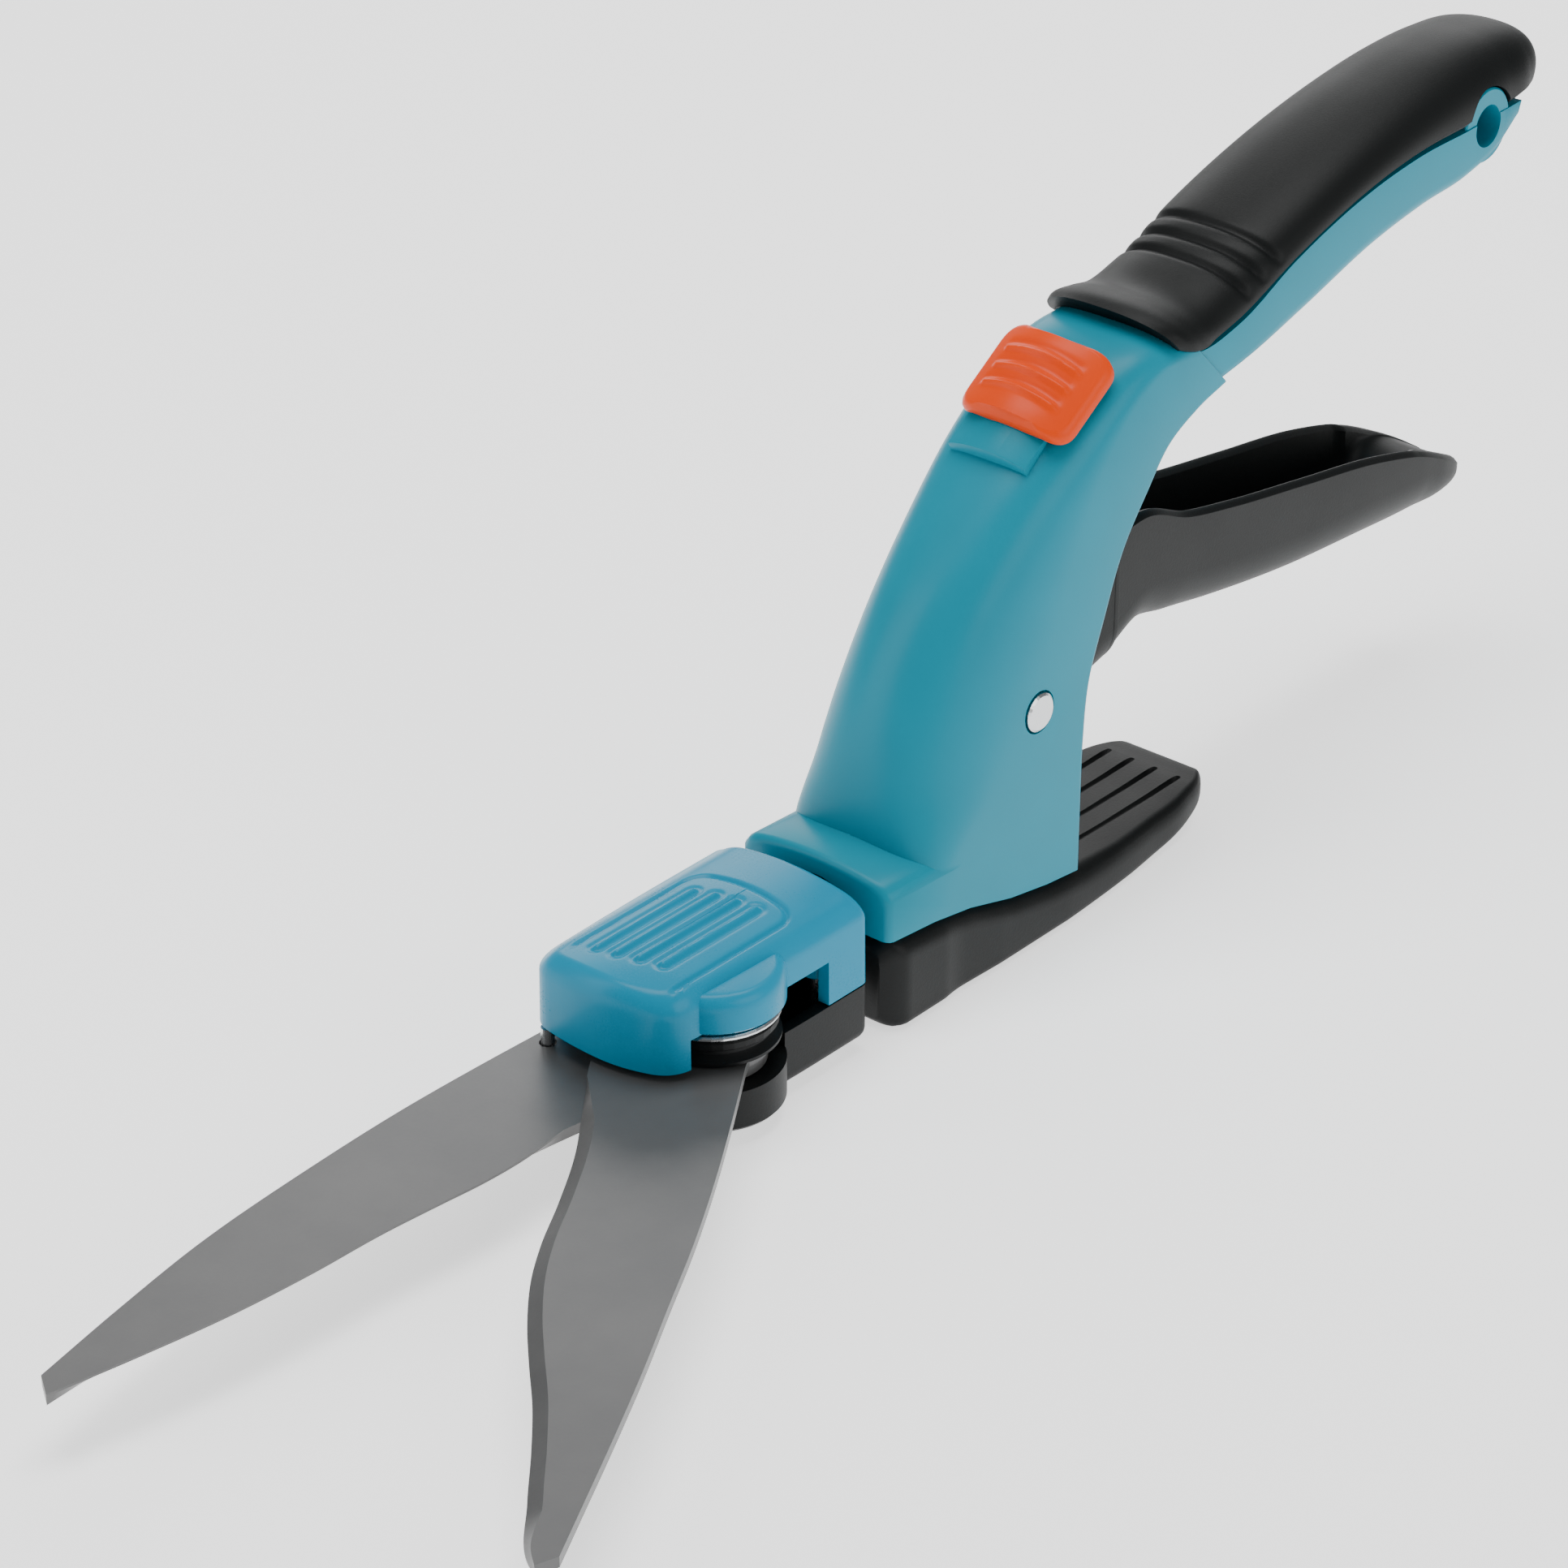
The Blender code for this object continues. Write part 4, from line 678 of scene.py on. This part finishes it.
def blade(name, back, cut, root, low, bevel_up):
    """Flat blade; on the bevel side the cutting edge is drawn in by BEVEL_WIDE over BEVEL_HIGH."""
    back, cut = resample(back, 60), resample(cut, 140)
    outline = np.vstack([back, cut, root])
    along = np.gradient(cut, axis=0)
    along /= np.linalg.norm(along, axis=1)[:, None]
    turn = 1.0 if bevel_up else -1.0
    inward = np.c_[along[:, 1], -along[:, 0]] * turn
    count = len(cut)
    fade = np.minimum(1.0, np.minimum(np.arange(count), count - 1 - np.arange(count)) / 14.0)
    drawn = outline.copy()
    drawn[len(back):len(back) + count] += inward * BEVEL_WIDE * fade[:, None]
    levels = [(drawn, 0.0), (outline, BEVEL_HIGH), (outline, BLADE_THICK)]
    if bevel_up:
        levels = [(outline, 0.0), (outline, BLADE_THICK - BEVEL_HIGH), (drawn, BLADE_THICK)]
    return skin(name, [np.c_[flat, np.full(len(flat), low + up)] for flat, up in levels])


def coated_blade(name):
    """Grey non-stick coating: slightly mottled, with faint rubbed spots."""
    f = Finish(name, (0.14, 0.14, 0.14), 0.42, Coat_Weight=0.25, Coat_Roughness=0.35)
    f.set("Metallic", 0.35)
    grain = f.noise(1500.0, 3.0, 0.6)
    cloud = f.noise(60.0, 3.0, 0.55)
    f.set("Base Color", cloud.step(0.25, 0.8).mix((0.090, 0.091, 0.092), (0.110, 0.110, 0.109)))
    f.set("Roughness", 0.42 + (grain - 0.5) * 0.12)
    f.bump(grain, 0.25, 0.00004)
    return f


coating = coated_blade("coated_blade_grey")
root = np.vstack([[(-83.0, -8.0), (-72.0, -15.6)], arc(PIVOT, 8.4, 250.0, 330.0, 20),
                  [(-47.0, -6.0), (-43.0, 4.0), (-43.0, 11.6), (-72.8, 11.6), (-74.0, 12.2)]])
fixed = blade("fixed", FIXED_BACK, FIXED_CUT, root, FIXED_LOW, False)
carve(fixed, cut=[drill(PIVOT, "z", BOLT_HOLE), drill((*BLADE_SCREW, 0.0), "z", 1.8),
                  drill(LOCATING_HOLE, "z", 1.4)])
place(fixed, "fixed_blade_steel", coating, "coated_blade_steel", "head", "fixed_blade", sharp=12.0)
tail = np.vstack([[(-77.6, 3.0)], arc(DRIVE, 3.2, 150.0, 10.0, 16), arc(PIVOT, 8.8, 60.0, -100.0, 36)])
moving = blade("moving", MOVING_BACK, MOVING_CUT, tail, MOVING_LOW, True)
carve(moving, cut=[drill(PIVOT, "z", BOLT_HOLE), drill(DRIVE, "z", 1.65)])
place(moving, "moving_blade_steel", coating, "coated_blade_steel", "blade", "moving_blade", sharp=12.0)


# ---------------------------------------------------------------- rivet, screws, rod and springs
# Small parts that keep their CAD shapes.  Turned or drawn bright steel: rivet, clip, rod, pins, bolt,
# nut, washer and screws.  Coiled or split spring steel: lever spring and neck ring.  Moulded black
# plastic: yoke, upper disc and lock catch.

def metal(name, colour, roughness, stretch):
    """Bare steel with fine drawn or turned marks."""
    f = Finish(name, colour, roughness, Metallic=1.0)
    marks = f.noise(900.0, 4.0, 0.6, stretch)
    f.set("Roughness", roughness + (marks - 0.5) * 0.18)
    f.bump(marks, 0.15, 0.00003)
    return f


steel = metal("bright_steel_turned", (0.66, 0.67, 0.68), 0.26, (1.0, 1.0, 0.1))
spring = metal("spring_steel_drawn", (0.36, 0.36, 0.37), 0.34, (0.2, 1.0, 0.2))

FINISH = {"teal_plastic": teal, "head_teal_plastic": head_teal, "soft_grip_black": rubber,
          "black_plastic": black, "orange_plastic": orange, "bright_steel": steel,
          "coated_blade_steel": coating, "spring_steel": spring}
for entry in frame["record"]["subparts"]:
    part = frame["nodes"][entry["node"]]
    part.data.materials.clear()
    part.data.materials.append(FINISH[entry["material_slot"]].mat)


# ---------------------------------------------------------------- camera, light and floor
# A tabletop set: one camera, four soft rectangular lamps and a pale matt sheet under the shears.

AZIMUTH, ELEVATION = 49.5, 29.3
CAMERA_AT = (-0.5327, -0.4238, 0.4094)
LENS, SENSOR = 111.8, 36.0

def studio():
    """Camera, soft lights and a pale floor."""
    cam = bpy.data.objects.new("camera", bpy.data.cameras.new("camera"))
    az, el = math.radians(AZIMUTH), math.radians(ELEVATION)
    back = Vector((-math.sin(az) * math.cos(el), -math.cos(az) * math.cos(el), math.sin(el)))
    right = Vector((math.cos(az), -math.sin(az), 0.0))
    up = back.cross(right)
    turn = Matrix((right, up, back)).transposed().to_4x4()
    cam.matrix_world = Matrix.Translation(CAMERA_AT) @ turn
    cam.data.lens, cam.data.sensor_width = LENS, SENSOR
    bpy.context.scene.collection.objects.link(cam)
    bpy.context.scene.camera = cam
    for name, at, aim, wide, tall, power in (
            ("key", (0.05, -0.85, 0.42), (0.0, 0.0, 0.05), 0.6, 0.5, 2.8),
            ("left", (-0.70, 0.50, 0.40), (0.0, 0.0, 0.06), 0.20, 0.8, 2.2),
            ("top", (0.05, 0.10, 0.95), (0.0, 0.0, 0.0), 0.9, 0.4, 8.0),
            ("rear", (0.80, 0.68, 0.50), (-0.05, 0.0, 0.03), 1.0, 0.5, 5.5)):
        lamp = bpy.data.lights.new(name, "AREA")
        lamp.shape, lamp.size, lamp.size_y, lamp.energy = "RECTANGLE", wide, tall, power
        obj = bpy.data.objects.new(name, lamp)
        obj.location = at
        obj.rotation_euler = (Vector(at) - Vector(aim)).to_track_quat("Z", "Y").to_euler()
        bpy.context.scene.collection.objects.link(obj)
    world = bpy.data.worlds.new("studio")
    world.use_nodes = True
    world.node_tree.nodes["Background"].inputs[0].default_value = (0.92, 0.94, 0.95, 1.0)
    world.node_tree.nodes["Background"].inputs[1].default_value = 0.22
    bpy.context.scene.world = world
    mesh = bpy.data.meshes.new("floor")
    mesh.from_pydata([(-3, -3, 0), (3, -3, 0), (3, 3, 0), (-3, 3, 0)], [], [(0, 1, 2, 3)])
    floor = bpy.data.objects.new("floor", mesh)
    floor.location = (0, 0, -0.0004)
    bpy.context.scene.collection.objects.link(floor)
    pale = Finish("floor_pale", (0.90, 0.90, 0.90), 0.9, Emission_Color=(1.0, 1.0, 1.0),
                  Emission_Strength=1.1)
    mesh.materials.append(pale.mat)


studio()
